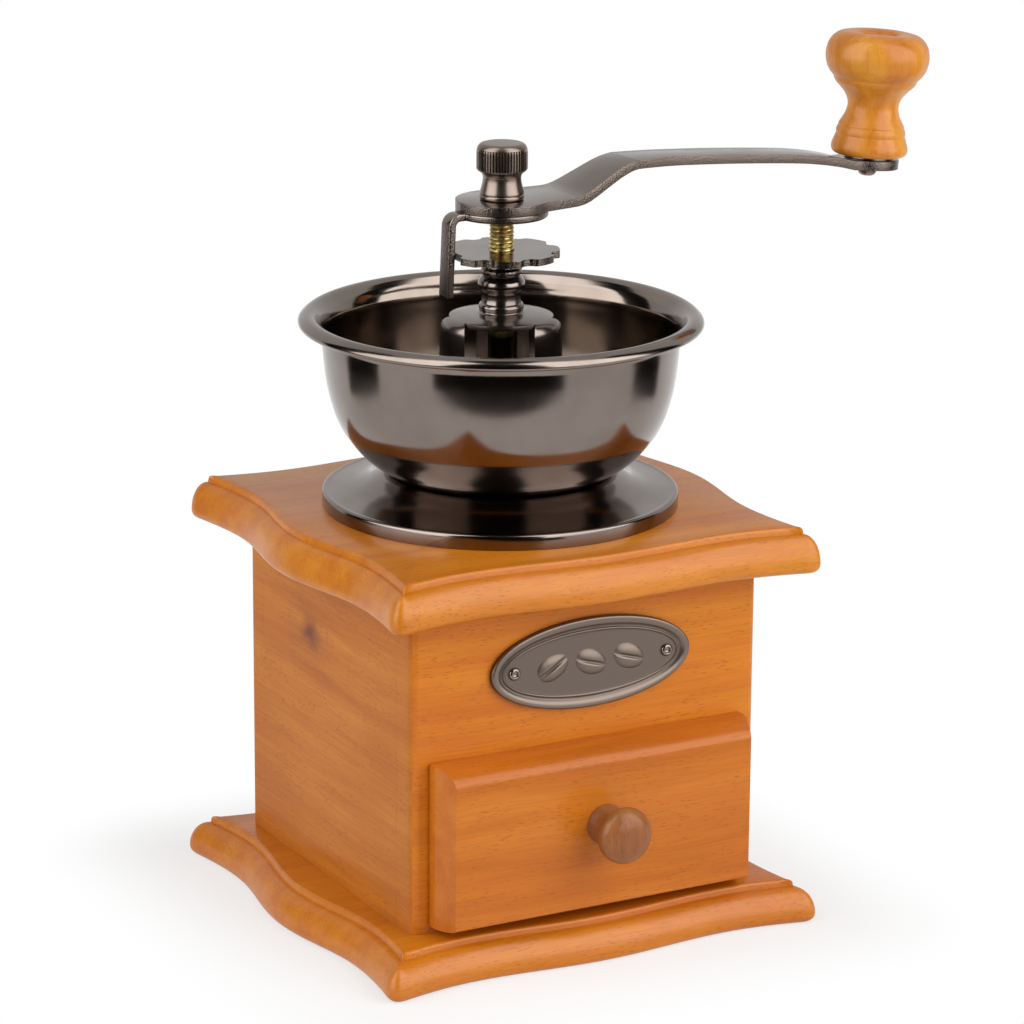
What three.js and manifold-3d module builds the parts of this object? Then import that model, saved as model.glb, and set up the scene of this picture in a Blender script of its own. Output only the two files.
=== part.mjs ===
// Wooden hand mill for coffee: a box with a drawer, a metal hopper bowl and a crank.
// Millimetres, +Z up. The origin is the middle of the underside of the base board.
// The drawer front faces -Y and +X is to its right.
import * as THREE from 'three';
import { mergeVertices } from 'three/addons/utils/BufferGeometryUtils.js';
import Module from 'manifold-3d';

const wasm = await Module();
wasm.setup();

// Clearances and the overrun of every cut
const slidingGap = 0.4;
const restGap = 0.2;
const turningGap = 0.1;
const seatGap = 0.05;
const overrun = 1;

// Base board and lid board, which share one outline and one moulded edge
const boardHalf = 67.8;
const boardThickness = 12.8;
const boardCornerReach = 6.5;
const ridgeCornerReach = 2.2;
const sideBulge = 1.4;
const sideDip = 3.5;
const frontHollow = 2;
const frontDip = 4.8;
const dipShare = 0.57;
const mouldingWidth = 4.6;
const boardFootRadius = 2.4;
const quirkHeight = 1.1;
const quirkDepth = 0.15;
const arrisRadius = 0.9;

// Walls of the case
const bodyWidth = 108.4;
const bodyDepth = 102.4;
const bodyHeight = 90.4;
const panelThickness = 9;
const bodyCornerRadius = 2.4;
const openingMargin = 1;
const dowelRadius = 3;
const dowelLength = 16;
const dowelInset = 14;
const baseScrewRadius = 1.8;
const baseScrewHeadRadius = 3.8;
const baseScrewLength = 26;
const baseScrewInset = 20;

// Drawer
const drawerFrontMargin = 5.2;
const drawerFrontLap = 3.7;
const drawerFrontThickness = 11.2;
const drawerFrontTopRadius = 3.2;
const drawerFrontSideRadius = 2.2;
const drawerFrontFootRadius = 1;
const drawerFrontLift = 0.5;
const drawerHeadroom = 7.5;
const drawerBackGap = 9.6;
const drawerWall = 6;
const drawerFloor = 3;
const drawerFloorRise = 3;
const grooveDepth = 2.5;
const drawerKnobReach = 15;
const drawerKnobHeadRadius = 8;
const drawerKnobNeckRadius = 4.6;
const drawerKnobSeatRadius = 5.8;
const drawerKnobShare = 0.543;
const knobScrewRadius = 1.7;
const knobScrewHeadRadius = 3.6;
const knobScrewHeadHeight = 2;
const knobScrewBite = 9;

// Oval plaque on the front
const plaqueWidth = 61;
const plaqueHeight = 24.6;
const plaqueThickness = 1.2;
const plaqueRimWidth = 2;
const plaqueRimHeight = 0.7;
const plaqueBeadInset = 3.6;
const plaqueBeadWidth = 0.7;
const plaqueBeadHeight = 0.35;
const plaqueDrop = 20.3;
const plaqueGap = 9.6;
const plaqueNailInset = 6.5;
const plaqueNailRadius = 0.8;
const plaqueNailHeadRadius = 1.5;
const plaqueNailHeadHeight = 0.8;
const plaqueNailLength = 7;
const beanLength = 9;
const beanWidth = 6.2;
const beanRelief = 0.7;
const beanPitch = 10;
const beanTurn = 0.42;
const beanCrease = 0.8;

// Mounting flange under the bowl
const flangeRadius = 50.4;
const flangeSkirt = 3.4;
const flangeShoulder = 0.9;
const flangeHeight = 9.7;
const flangeNeckRadius = 34;
const flangeBoreRadius = 22.6;
const flangeSheet = 1.2;

// Hopper bowl
const bowlHeight = 45.2;
const bowlWallRadius = 50.2;
const bowlFootRadius = 30.8;
const bowlRimRadius = 56.9;
const bowlSheet = 1.1;
const bowlThroatRadius = 18;
const bowlWallShares = [[0.721, 0.027], [0.751, 0.049], [0.795, 0.104], [0.865, 0.224],
  [0.902, 0.303], [0.938, 0.403], [0.974, 0.56], [0.995, 0.76], [1, 0.89]];
const bowlLipShares = [[0.2, 0.945], [0.48, 0.966], [0.75, 0.955], [0.96, 0.942], [1, 0.958],
  [0.86, 0.985], [0.6, 1], [0.36, 0.99]];

// Bridge over the throat of the bowl, its lower guide and its bush
const guideThickness = 2;
const guideHubRadius = 7;
const guideArmWidth = 7;
const bridgeFootRadius = 30.4;
const bridgeFootThickness = 3;
const bridgeWallRadius = 17.3;
const bridgeWallThickness = 3;
const bridgeFlare = 1.2;
const bridgeHeight = 42.1;
const bridgeRoof = 2.2;
const bridgeShoulder = 3.4;
const windowWidth = 19.6;
const windowDepthRadius = 14.6;
const windowCount = 3;
const sleeveRadius = 6.3;
const sleeveHeight = 10.8;
const sleeveShares = [[0.97, 0], [1, 0.2], [0.875, 0.28], [0.86, 0.5], [0.89, 0.62],
  [1.045, 0.74], [1.045, 0.8], [0.93, 0.92], [0.85, 1]];
const bushRadius = 4.9;
const clampCircleRadius = 26.8;
const clampScrewRadius = 2;
const clampHeadRadius = 3.2;
const clampHeadHeight = 2.4;
const clampSlotWidth = 1;
const clampSlotDepth = 1.1;
const clampRunout = 1.2;

// Burr set under the lid
const throatRadius = 21.4;
const burrFlangeRadius = 32.5;
const burrFlangeThickness = 4.4;
const burrRise = 10;
const burrDrop = 11;
const burrBodyGap = 0.6;
const burrMouthRadius = 18.8;
const burrWaistRadius = 14.8;
const burrMilledRadius = 16.9;
const burrSkirtRadius = 19.6;
const burrFineShare = 0.42;
const burrTooth = 0.8;
const burrTeeth = 24;
const grindGap = 0.7;
const coneTopRadius = 6.4;
const coneTopHeight = 18;
const coneRib = 1;

// Spindle and what is on it
const spindleRadius = 3.5;
const spindleReach = 11.2;
const driveWidth = 5;
const stubRadius = 2.5;
const stubLength = 6.4;
const threadPitch = 1.15;
const threadDepth = 0.35;
const keyHalfWidth = 2.8;
const burrNutWidth = 9;
const burrNutHeight = 4.2;
const burrWasherRadius = 7.6;
const burrWasherThickness = 1.4;
const springRadius = 5.4;
const springWire = 1.2;
const springTurns = 4;
const springStepsPerTurn = 10;
const springWireSides = 5;
const seatRadius = 7;
const seatThickness = 1;

// Adjusting wheel
const wheelRadius = 16.3;
const wheelThickness = 2;
const wheelNotches = 8;
const notchWidth = 4.8;
const notchDepth = 2.6;
const wheelHubRadius = 5.7;
const wheelHubHeight = 4.9;

// Lock bracket, whose finger hangs in a notch of the wheel
const bracketLift = 11.8;
const bracketRadius = 13;
const bracketSheet = 2.1;
const fingerWidth = 4.6;
const fingerOuterRadius = 17.8;
const fingerBendRadius = 3.6;
const fingerDrop = 23.6;
const fingerLead = THREE.MathUtils.degToRad(4);

// Crank arm
const crankTurn = THREE.MathUtils.degToRad(5);
const armSheet = 2.6;
const armHubRadius = 13;
const armEndRadius = 9;
const armLength = 128.6;
const armFlat = 21.5;
const armCrest = 44;
const armRise = 8;
const armDroop = 9;
const armEndFlat = 9;
const armRootWidth = 18.6;
const armBendWidth = 14.2;
const armBladeWidth = 12.2;
const knobTilt = THREE.MathUtils.degToRad(4.5);
const armRiseShares = [[0, 0], [0.12, 0.02], [0.3, 0.22], [0.7, 0.76], [0.86, 0.95], [1, 1]];
const armDroopShares = [[0.18, 0.05], [0.4, 0.22], [0.64, 0.5], [0.84, 0.8], [1, 1]];

// Crank knob and its rivet
const knobHeight = 36;
const knobRadius = 15.2;
const knobBoreRadius = 2.4;
const knobShares = [[0.62, 0], [0.7, 0.012], [0.737, 0.042], [0.73, 0.075], [0.7, 0.12], [0.68, 0.165],
  [0.675, 0.185], [0.65, 0.215], [0.64, 0.235], [0.605, 0.265], [0.53, 0.325], [0.493, 0.385],
  [0.51, 0.445], [0.6, 0.512], [0.715, 0.565], [0.8, 0.605], [0.81, 0.625], [0.86, 0.645], [0.95, 0.71],
  [1, 0.8], [0.985, 0.87], [0.93, 0.925], [0.84, 0.965], [0.7, 1]];
const plugRadius = 5.3;
const plugThickness = 2.6;
const plugSink = 0.9;
const rivetRadius = 2;
const rivetHeadRadius = 2.7;
const rivetHeadHeight = 2.6;
const rivetButtonRadius = 4;
const rivetButtonHeight = 1.8;
const washerRadius = 7;
const washerThickness = 0.6;

// Thumb nut on top
const nutHeight = 15.6;
const nutRadius = 7.2;
const nutKnurls = 26;
const knurlDepth = 0.35;
const nutTopWall = 4;
const nutShares = [[0.86, 0, 0], [0.88, 0.1, 0], [0.87, 0.14, 0], [0.78, 0.18, 0],
  [0.755, 0.3, 0], [0.77, 0.4, 0], [0.83, 0.45, 0.5], [1, 0.54, 1], [1, 0.86, 1], [0.95, 0.93, 0.6],
  [0.86, 0.98, 0], [0.74, 1, 0]];

// Segments of round pieces
const bowlSegments = 40;
const turnedSegments = 24;
const smallSegments = 12;
const arcSteps = 3;
const waveSteps = 10;

// Levels that follow from the sizes
const bodyBottom = boardThickness;
const bodyTop = bodyBottom + bodyHeight;
const lidTop = bodyTop + boardThickness;
const halfWidth = bodyWidth / 2;
const halfDepth = bodyDepth / 2;
const openingWidth = bodyWidth - 2 * (panelThickness + openingMargin);
const flangeTop = lidTop + flangeHeight;
const bowlFloorTop = flangeTop + bowlSheet;
const guideTop = bowlFloorTop + guideThickness;
const bridgeFootTop = guideTop + bridgeFootThickness;
const bridgeTop = guideTop + bridgeHeight;
const sleeveTop = bridgeTop + sleeveHeight;
const wheelBottom = sleeveTop + restGap;
const wheelTop = wheelBottom + wheelHubHeight + wheelThickness;
const bracketTop = wheelTop + bracketLift;
const burrTop = bodyTop + burrRise;
const burrBottom = bodyTop - burrDrop;
const coneTop = burrBottom + coneTopHeight;
const armBottom = bracketTop;
const armTop = armBottom + armSheet;
const spindleTop = armTop + spindleReach;
const plaqueCentre = bodyTop - plaqueDrop;
const drawerFrontWidth = bodyWidth - 2 * drawerFrontMargin;
const drawerFrontHeight = bodyHeight - plaqueDrop - plaqueHeight / 2 - plaqueGap - drawerFrontLift;
const openingHeight = drawerFrontLift + drawerFrontHeight - drawerFrontLap;
const drawerBoxHeight = openingHeight - drawerHeadroom;
const drawerFrontBack = -halfDepth - restGap;
const drawerBoxDepth = halfDepth - panelThickness - drawerBackGap - drawerFrontBack;
const drawerFrontFace = drawerFrontBack - drawerFrontThickness;
const drawerBottom = bodyBottom + slidingGap;
const drawerKnobHeight = bodyBottom + drawerFrontLift + drawerFrontHeight * drawerKnobShare;

// Finishes
const stainedBeech = { color: '#cf7a2c', roughness: 0.42, metalness: 0 };
const stainedSide = { color: '#c27440', roughness: 0.42, metalness: 0 };
const plainBeech = { color: '#c99a63', roughness: 0.6, metalness: 0 };
const knobBeech = { color: '#a8744a', roughness: 0.45, metalness: 0 };
const gunmetal = { color: '#4a4240', roughness: 0.16, metalness: 1 };
const bronzedSteel = { color: '#6f6762', roughness: 0.38, metalness: 1 };
const blackCasting = { color: '#2c2827', roughness: 0.3, metalness: 0.9 };
const castIron = { color: '#4b4a48', roughness: 0.65, metalness: 0.9 };
const brass = { color: '#b08a3a', roughness: 0.32, metalness: 1 };
const zincSteel = { color: '#9a9a98', roughness: 0.4, metalness: 1 };
const pewter = { color: '#7d7670', roughness: 0.5, metalness: 0.9 };

const millParts = new THREE.Group();

// Adds a named mesh with its own material to a group.
function addPart(name, geometry, finish, group = millParts) {
  const mesh = new THREE.Mesh(geometry, new THREE.MeshStandardMaterial(finish));
  mesh.name = name;
  group.add(mesh);
  return mesh;
}

// Keeps positions only, merges them, drops empty triangles and turns the faces outwards.
function clean(geometry) {
  geometry.deleteAttribute('normal');
  geometry.deleteAttribute('uv');
  const merged = mergeVertices(geometry, 1e-4);
  const place = merged.attributes.position;
  const source = merged.index.array;
  const index = [];
  const corners = [new THREE.Vector3(), new THREE.Vector3(), new THREE.Vector3()];
  let volume = 0;
  for (let i = 0; i < source.length; i += 3) {
    const [a, b, c] = [source[i], source[i + 1], source[i + 2]];
    if (a === b || b === c || c === a) continue;
    corners.forEach((corner, k) => corner.fromBufferAttribute(place, [a, b, c][k]));
    volume += corners[0].dot(corners[1].clone().cross(corners[2]));
    index.push(a, b, c);
  }
  if (volume < 0) index.reverse();
  merged.setIndex(index);
  return merged;
}

function toManifold(geometry) {
  const merged = clean(geometry.clone());
  const vertProperties = Float32Array.from(merged.attributes.position.array);
  const triVerts = Uint32Array.from(merged.index.array);
  return new wasm.Manifold(new wasm.Mesh({ numProp: 3, vertProperties, triVerts }));
}

function toGeometry(manifold) {
  const mesh = manifold.getMesh();
  const geometry = new THREE.BufferGeometry();
  geometry.setAttribute('position', new THREE.BufferAttribute(Float32Array.from(mesh.vertProperties), 3));
  geometry.setIndex(Array.from(mesh.triVerts));
  return geometry;
}

function cut(geometry, ...tools) {
  let solid = toManifold(geometry);
  for (const tool of tools) solid = solid.subtract(toManifold(tool));
  return toGeometry(solid);
}

function join(geometry, ...others) {
  let solid = toManifold(geometry);
  for (const other of others) solid = solid.add(toManifold(other));
  return toGeometry(solid);
}

function common(geometry, other) {
  return toGeometry(toManifold(geometry).intersect(toManifold(other)));
}

// Turns a closed or axis-to-axis profile of [radius, height] points about +Z.
function lathe(profile, segments = turnedSegments) {
  const points = profile.map(([radius, height]) => new THREE.Vector2(radius, height));
  const geometry = new THREE.LatheGeometry(points, segments);
  geometry.rotateX(Math.PI / 2);
  return clean(geometry);
}

// A ring turned about +Z from its bore, its outer radius and its two levels.
function ring(inner, outer, bottom, top, segments = turnedSegments) {
  const profile = [[inner, bottom], [outer, bottom], [outer, top], [inner, top], [inner, bottom]];
  return lathe(profile, segments);
}

function rod(radius, bottom, top, segments = smallSegments) {
  return lathe([[0, bottom], [radius, bottom], [radius, top], [0, top]], segments);
}

function block(width, depth, height, x, y, bottom) {
  const geometry = new THREE.BoxGeometry(width, depth, height);
  geometry.translate(x, y, bottom + height / 2);
  return geometry;
}

// Extrudes a shape of the XY plane from one level to another.
function plate(shape, bottom, top, curveSegments = arcSteps) {
  const options = { depth: top - bottom, bevelEnabled: false, curveSegments };
  const geometry = new THREE.ExtrudeGeometry(shape, options);
  geometry.translate(0, 0, bottom);
  return geometry;
}

// Extrudes a shape drawn in XZ along Y, from the front to the back.
function slab(shape, front, back, curveSegments = arcSteps) {
  const geometry = plate(shape, -back, -front, curveSegments);
  geometry.rotateX(Math.PI / 2);
  return geometry;
}

// Extrudes a shape drawn in YZ along X, from the left to the right.
function bar(shape, left, right, curveSegments = arcSteps) {
  const geometry = plate(shape, left, right, curveSegments);
  geometry.rotateX(Math.PI / 2);
  geometry.rotateZ(Math.PI / 2);
  return geometry;
}

// A line of points moved sideways to its right by a distance.
function offsetLine(points, distance) {
  return points.map((point, i) => {
    const before = points[Math.max(i - 1, 0)];
    const after = points[Math.min(i + 1, points.length - 1)];
    const along = new THREE.Vector2().subVectors(after, before).normalize();
    return new THREE.Vector2(point.x + along.y * distance, point.y - along.x * distance);
  });
}

function circle(radius, segments) {
  const shape = new THREE.Shape();
  for (let i = 0; i < segments; i += 1) {
    const angle = (i / segments) * 2 * Math.PI;
    const x = radius * Math.cos(angle);
    const y = radius * Math.sin(angle);
    if (i === 0) shape.moveTo(x, y);
    else shape.lineTo(x, y);
  }
  return shape;
}

// Skins closed rings of equal counts, and closes the ends when the rings make no loop.
function skin(rings, looped) {
  const count = rings[0].length;
  const vertices = rings.flat().flatMap((point) => [point.x, point.y, point.z]);
  const index = [];
  const bands = looped ? rings.length : rings.length - 1;
  for (let band = 0; band < bands; band += 1) {
    const low = band * count;
    const high = ((band + 1) % rings.length) * count;
    for (let i = 0; i < count; i += 1) {
      const next = (i + 1) % count;
      index.push(low + i, low + next, high + next, low + i, high + next, high + i);
    }
  }
  if (!looped) {
    const outline = rings[0].map((point) => new THREE.Vector2(point.x, point.y));
    const last = (rings.length - 1) * count;
    for (const [a, b, c] of THREE.ShapeUtils.triangulateShape(outline, [])) {
      index.push(c, b, a, last + a, last + b, last + c);
    }
  }
  const geometry = new THREE.BufferGeometry();
  geometry.setAttribute('position', new THREE.Float32BufferAttribute(vertices, 3));
  geometry.setIndex(index);
  return clean(geometry);
}

// How far a wavy edge stands out at a share of the way from its middle to its corner.
function waveAt(share, bulge, dip) {
  if (share < dipShare) {
    const swing = (1 + Math.cos((Math.PI * share) / dipShare)) / 2;
    return swing * (bulge + dip) - dip;
  }
  const rest = (share - dipShare) / (1 - dipShare);
  return -dip * Math.cos((Math.PI / 2) * rest);
}

// The outline of a board, drawn in from its widest line by an inset.
function boardOutline(inset, level) {
  const half = boardHalf - inset;
  const reach = THREE.MathUtils.lerp(boardCornerReach, ridgeCornerReach, Math.min(1, inset / mouldingWidth));
  const edges = [
    { bulge: sideBulge, dip: sideDip, turn: 0 },
    { bulge: -frontHollow, dip: frontDip, turn: Math.PI / 2 },
    { bulge: sideBulge, dip: sideDip, turn: Math.PI },
    { bulge: -frontHollow, dip: frontDip, turn: -Math.PI / 2 },
  ];
  const points = [];
  for (const edge of edges) {
    const origin = new THREE.Vector2();
    const run = half - reach;
    for (let i = 0; i <= waveSteps; i += 1) {
      const along = THREE.MathUtils.lerp(-run, run, i / waveSteps);
      const out = half + waveAt(Math.abs(along) / boardHalf, edge.bulge, edge.dip);
      points.push(new THREE.Vector2(out, along).rotateAround(origin, edge.turn));
    }
    const corner = new THREE.Vector2(half, half).rotateAround(origin, edge.turn);
    const start = points[points.length - 1];
    const nextEdge = edges[(edges.indexOf(edge) + 1) % edges.length];
    const nextOut = half + waveAt(run / boardHalf, nextEdge.bulge, nextEdge.dip);
    const end = new THREE.Vector2(nextOut, -run).rotateAround(origin, nextEdge.turn);
    const curve = new THREE.QuadraticBezierCurve(start, corner, end);
    points.push(...curve.getPoints(arcSteps).slice(1, -1));
  }
  return points.map((point) => new THREE.Vector3(point.x, point.y, level));
}

// A moulded board: rounded foot, quarter-round side, a small step and a softened top edge.
function board(bottom) {
  const rings = [];
  const stepLevel = boardThickness - arrisRadius - quirkHeight;
  for (let i = 0; i <= 3; i += 1) {
    const angle = (i / 3) * (Math.PI / 2);
    const inset = boardFootRadius * (1 - Math.sin(angle));
    rings.push(boardOutline(inset, bottom + boardFootRadius * (1 - Math.cos(angle))));
  }
  for (let i = 1; i <= 4; i += 1) {
    const angle = (i / 4) * (Math.PI / 2);
    const level = boardFootRadius + (stepLevel - boardFootRadius) * Math.sin(angle);
    rings.push(boardOutline(mouldingWidth * (1 - Math.cos(angle)), bottom + level));
  }
  const stepInset = mouldingWidth + quirkDepth;
  rings.push(boardOutline(stepInset, bottom + boardThickness - arrisRadius));
  rings.push(boardOutline(stepInset + arrisRadius, bottom + boardThickness));
  return skin(rings, false);
}

function baseScrewPlaces() {
  const x = halfWidth - panelThickness / 2;
  const y = halfDepth - panelThickness - baseScrewInset;
  return [[-x, -y], [x, -y], [-x, y], [x, y]];
}

function dowelPlaces() {
  const x = halfWidth - panelThickness / 2;
  const y = halfDepth - panelThickness - dowelInset;
  return [[-x, -y], [x, -y], [-x, y], [x, y]];
}

function screwHole(x, y) {
  const sink = lathe([[0, -overrun], [baseScrewHeadRadius + overrun, -overrun],
    [baseScrewRadius + seatGap, baseScrewHeadRadius - baseScrewRadius],
    [baseScrewRadius + seatGap, baseScrewLength + overrun], [0, baseScrewLength + overrun]], smallSegments);
  sink.translate(x, y, 0);
  return sink;
}

function baseScrew() {
  const height = baseScrewHeadRadius - baseScrewRadius;
  return lathe([[0, seatGap], [baseScrewHeadRadius - seatGap, seatGap], [baseScrewRadius, height],
    [baseScrewRadius, baseScrewLength - baseScrewRadius], [0, baseScrewLength]], smallSegments);
}

function baseBoard() {
  const holes = baseScrewPlaces().map(([x, y]) => screwHole(x, y));
  return cut(board(0), ...holes);
}

function clampAngles() {
  return [...Array(windowCount).keys()].map((i) => Math.PI / windowCount + (i * 2 * Math.PI) / windowCount);
}

function clampPlace(angle) {
  return [clampCircleRadius * Math.cos(angle), clampCircleRadius * Math.sin(angle)];
}

function clampHole(angle, radius, bottom, top) {
  const hole = rod(radius, bottom, top);
  const [x, y] = clampPlace(angle);
  hole.translate(x, y, 0);
  return hole;
}

function lidBoard() {
  const tools = [rod(throatRadius, bodyTop - overrun, lidTop + overrun, bowlSegments)];
  for (const angle of clampAngles()) {
    tools.push(clampHole(angle, clampScrewRadius + turningGap, bodyTop - overrun, lidTop + overrun));
  }
  for (const [x, y] of dowelPlaces()) {
    const hole = rod(dowelRadius + seatGap, bodyTop - overrun, bodyTop + dowelLength / 2 + restGap);
    hole.translate(x, y, 0);
    tools.push(hole);
  }
  return cut(board(bodyTop), ...tools);
}

// A front or back wall: a board whose two outer upright corners are rounded.
function wallShape() {
  const shape = new THREE.Shape();
  const inside = -halfDepth + panelThickness;
  shape.moveTo(halfWidth, inside);
  shape.lineTo(-halfWidth, inside);
  shape.lineTo(-halfWidth, -halfDepth + bodyCornerRadius);
  shape.absarc(-halfWidth + bodyCornerRadius, -halfDepth + bodyCornerRadius, bodyCornerRadius,
    Math.PI, 1.5 * Math.PI, false);
  shape.absarc(halfWidth - bodyCornerRadius, -halfDepth + bodyCornerRadius, bodyCornerRadius,
    1.5 * Math.PI, 2 * Math.PI, false);
  shape.lineTo(halfWidth, inside);
  return shape;
}

function plaqueNailPlaces() {
  const x = plaqueWidth / 2 - plaqueNailInset;
  return [-x, x];
}

function frontPanel() {
  const wall = plate(wallShape(), bodyBottom, bodyTop);
  const opening = block(openingWidth, panelThickness + 2 * overrun, openingHeight + overrun,
    0, -halfDepth + panelThickness / 2, bodyBottom - overrun);
  const nailHoles = plaqueNailPlaces().map((x) => {
    const hole = rod(plaqueNailRadius + seatGap, -overrun, plaqueNailLength + overrun);
    hole.rotateX(-Math.PI / 2);
    hole.translate(x, -halfDepth, plaqueCentre);
    return hole;
  });
  return cut(wall, opening, ...nailHoles);
}

function backPanel() {
  const wall = plate(wallShape(), bodyBottom, bodyTop);
  wall.rotateZ(Math.PI);
  return wall;
}

function sidePanel(side) {
  const depth = bodyDepth - 2 * panelThickness;
  const x = side * (halfWidth - panelThickness / 2);
  const wall = block(panelThickness, depth, bodyHeight, x, 0, bodyBottom);
  const tools = [];
  for (const [holeX, holeY] of dowelPlaces()) {
    if (Math.sign(holeX) !== side) continue;
    const hole = rod(dowelRadius + seatGap, bodyTop - dowelLength / 2 - restGap, bodyTop + overrun);
    hole.translate(holeX, holeY, 0);
    tools.push(hole);
  }
  for (const [screwX, screwY] of baseScrewPlaces()) {
    if (Math.sign(screwX) === side) tools.push(screwHole(screwX, screwY));
  }
  return cut(wall, ...tools);
}

// Drawer front: the side view crossed with the plan, so both roundings meet in a mitre.
function drawerFront() {
  const bottom = bodyBottom + drawerFrontLift;
  const top = bottom + drawerFrontHeight;
  const half = drawerFrontWidth / 2;
  const side = new THREE.Shape();
  side.moveTo(drawerFrontBack, bottom);
  side.lineTo(drawerFrontBack, top);
  side.lineTo(drawerFrontFace + drawerFrontTopRadius, top);
  side.absarc(drawerFrontFace + drawerFrontTopRadius, top - drawerFrontTopRadius, drawerFrontTopRadius,
    Math.PI / 2, Math.PI, false);
  side.lineTo(drawerFrontFace, bottom + drawerFrontFootRadius);
  side.absarc(drawerFrontFace + drawerFrontFootRadius, bottom + drawerFrontFootRadius,
    drawerFrontFootRadius, Math.PI, 1.5 * Math.PI, false);
  const plan = new THREE.Shape();
  plan.moveTo(half, drawerFrontBack);
  plan.lineTo(-half, drawerFrontBack);
  plan.absarc(-half + drawerFrontSideRadius, drawerFrontFace + drawerFrontSideRadius,
    drawerFrontSideRadius, Math.PI, 1.5 * Math.PI, false);
  plan.absarc(half - drawerFrontSideRadius, drawerFrontFace + drawerFrontSideRadius,
    drawerFrontSideRadius, 1.5 * Math.PI, 2 * Math.PI, false);
  const solid = common(bar(side, -half, half), plate(plan, bottom, top));
  return cut(solid, drawerFloorGroove(), knobScrewHole());
}

function drawerHalfWidth() {
  return openingWidth / 2 - slidingGap;
}

function drawerFloorBottom() {
  return drawerBottom + drawerFloorRise;
}

// The groove that holds the drawer's floor in its sides and its front.
function drawerFloorGroove() {
  const width = 2 * (drawerHalfWidth() - drawerWall + grooveDepth + seatGap);
  const depth = drawerBoxDepth + grooveDepth + seatGap + overrun;
  const y = drawerFrontBack - grooveDepth - seatGap + depth / 2;
  return block(width, depth, drawerFloor + 2 * seatGap, 0, y, drawerFloorBottom() - seatGap);
}

function drawerSide(side) {
  const x = side * (drawerHalfWidth() - drawerWall / 2);
  const y = drawerFrontBack + drawerBoxDepth / 2;
  const wall = block(drawerWall, drawerBoxDepth, drawerBoxHeight, x, y, drawerBottom);
  return cut(wall, drawerFloorGroove());
}

function drawerBack() {
  const width = 2 * (drawerHalfWidth() - drawerWall);
  const bottom = drawerFloorBottom() + drawerFloor + seatGap;
  const height = drawerBottom + drawerBoxHeight - bottom;
  const y = drawerFrontBack + drawerBoxDepth - drawerWall / 2;
  return block(width, drawerWall, height, 0, y, bottom);
}

function drawerFloorPanel() {
  const width = 2 * (drawerHalfWidth() - drawerWall + grooveDepth);
  const depth = drawerBoxDepth + grooveDepth;
  return block(width, depth, drawerFloor, 0, drawerFrontBack - grooveDepth + depth / 2, drawerFloorBottom());
}

// Places a piece that was turned about +Z on the drawer front, pointing out of it.
function onDrawerFront(geometry) {
  geometry.rotateX(Math.PI / 2);
  geometry.translate(0, drawerFrontFace, drawerKnobHeight);
  return geometry;
}

function knobScrewHole() {
  const hole = rod(knobScrewRadius + seatGap, -drawerFrontThickness - overrun, overrun);
  return onDrawerFront(hole);
}

function drawerKnob() {
  const reach = drawerKnobReach;
  const head = drawerKnobHeadRadius;
  const neck = drawerKnobNeckRadius;
  const bore = knobScrewRadius + seatGap;
  const profile = [[bore, 0], [drawerKnobSeatRadius, 0], [drawerKnobSeatRadius * 0.96, reach * 0.08],
    [neck * 1.03, reach * 0.2], [neck, reach * 0.34], [neck * 1.15, reach * 0.46],
    [head * 0.85, reach * 0.54], [head * 0.98, reach * 0.62], [head, reach * 0.7],
    [head * 0.95, reach * 0.8], [head * 0.8, reach * 0.9], [head * 0.5, reach * 0.975], [0, reach],
    [0, knobScrewBite + restGap], [bore, knobScrewBite + restGap], [bore, 0]];
  return onDrawerFront(lathe(profile));
}

function drawerKnobScrew() {
  const back = -drawerFrontThickness;
  const profile = [[0, back - knobScrewHeadHeight], [knobScrewHeadRadius * 0.7, back - knobScrewHeadHeight],
    [knobScrewHeadRadius, back - knobScrewHeadHeight / 2], [knobScrewHeadRadius, back],
    [knobScrewRadius, back], [knobScrewRadius, knobScrewBite - knobScrewRadius], [0, knobScrewBite]];
  return onDrawerFront(lathe(profile, smallSegments));
}

// An upright oval ring or disc on the front wall, with a given size and reach.
function oval(width, height, reach, holeWidth = 0, holeHeight = 0) {
  const shape = new THREE.Shape();
  shape.absellipse(0, 0, width / 2, height / 2, 0, 2 * Math.PI, false, 0);
  if (holeWidth > 0) {
    const hole = new THREE.Path();
    hole.absellipse(0, 0, holeWidth / 2, holeHeight / 2, 0, 2 * Math.PI, true, 0);
    shape.holes.push(hole);
  }
  const piece = slab(shape, -halfDepth - reach, -halfDepth, turnedSegments / 2);
  piece.translate(0, 0, plaqueCentre);
  return piece;
}

// A plain coffee bean in low relief: half an egg shape with a crease along it.
function bean(x, turn) {
  const body = new THREE.SphereGeometry(1, smallSegments, smallSegments / 2);
  body.scale(beanLength / 2, 2 * beanRelief, beanWidth / 2);
  const crease = new THREE.CylinderGeometry(1, 1, beanLength, arcSteps * 2);
  crease.rotateZ(Math.PI / 2);
  crease.scale(1, beanCrease, beanCrease / 2);
  crease.translate(0, -2 * beanRelief, 0);
  const shape = cut(body, crease);
  shape.rotateY(turn);
  shape.translate(x, -halfDepth - plaqueThickness + beanRelief, plaqueCentre);
  return shape;
}

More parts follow.
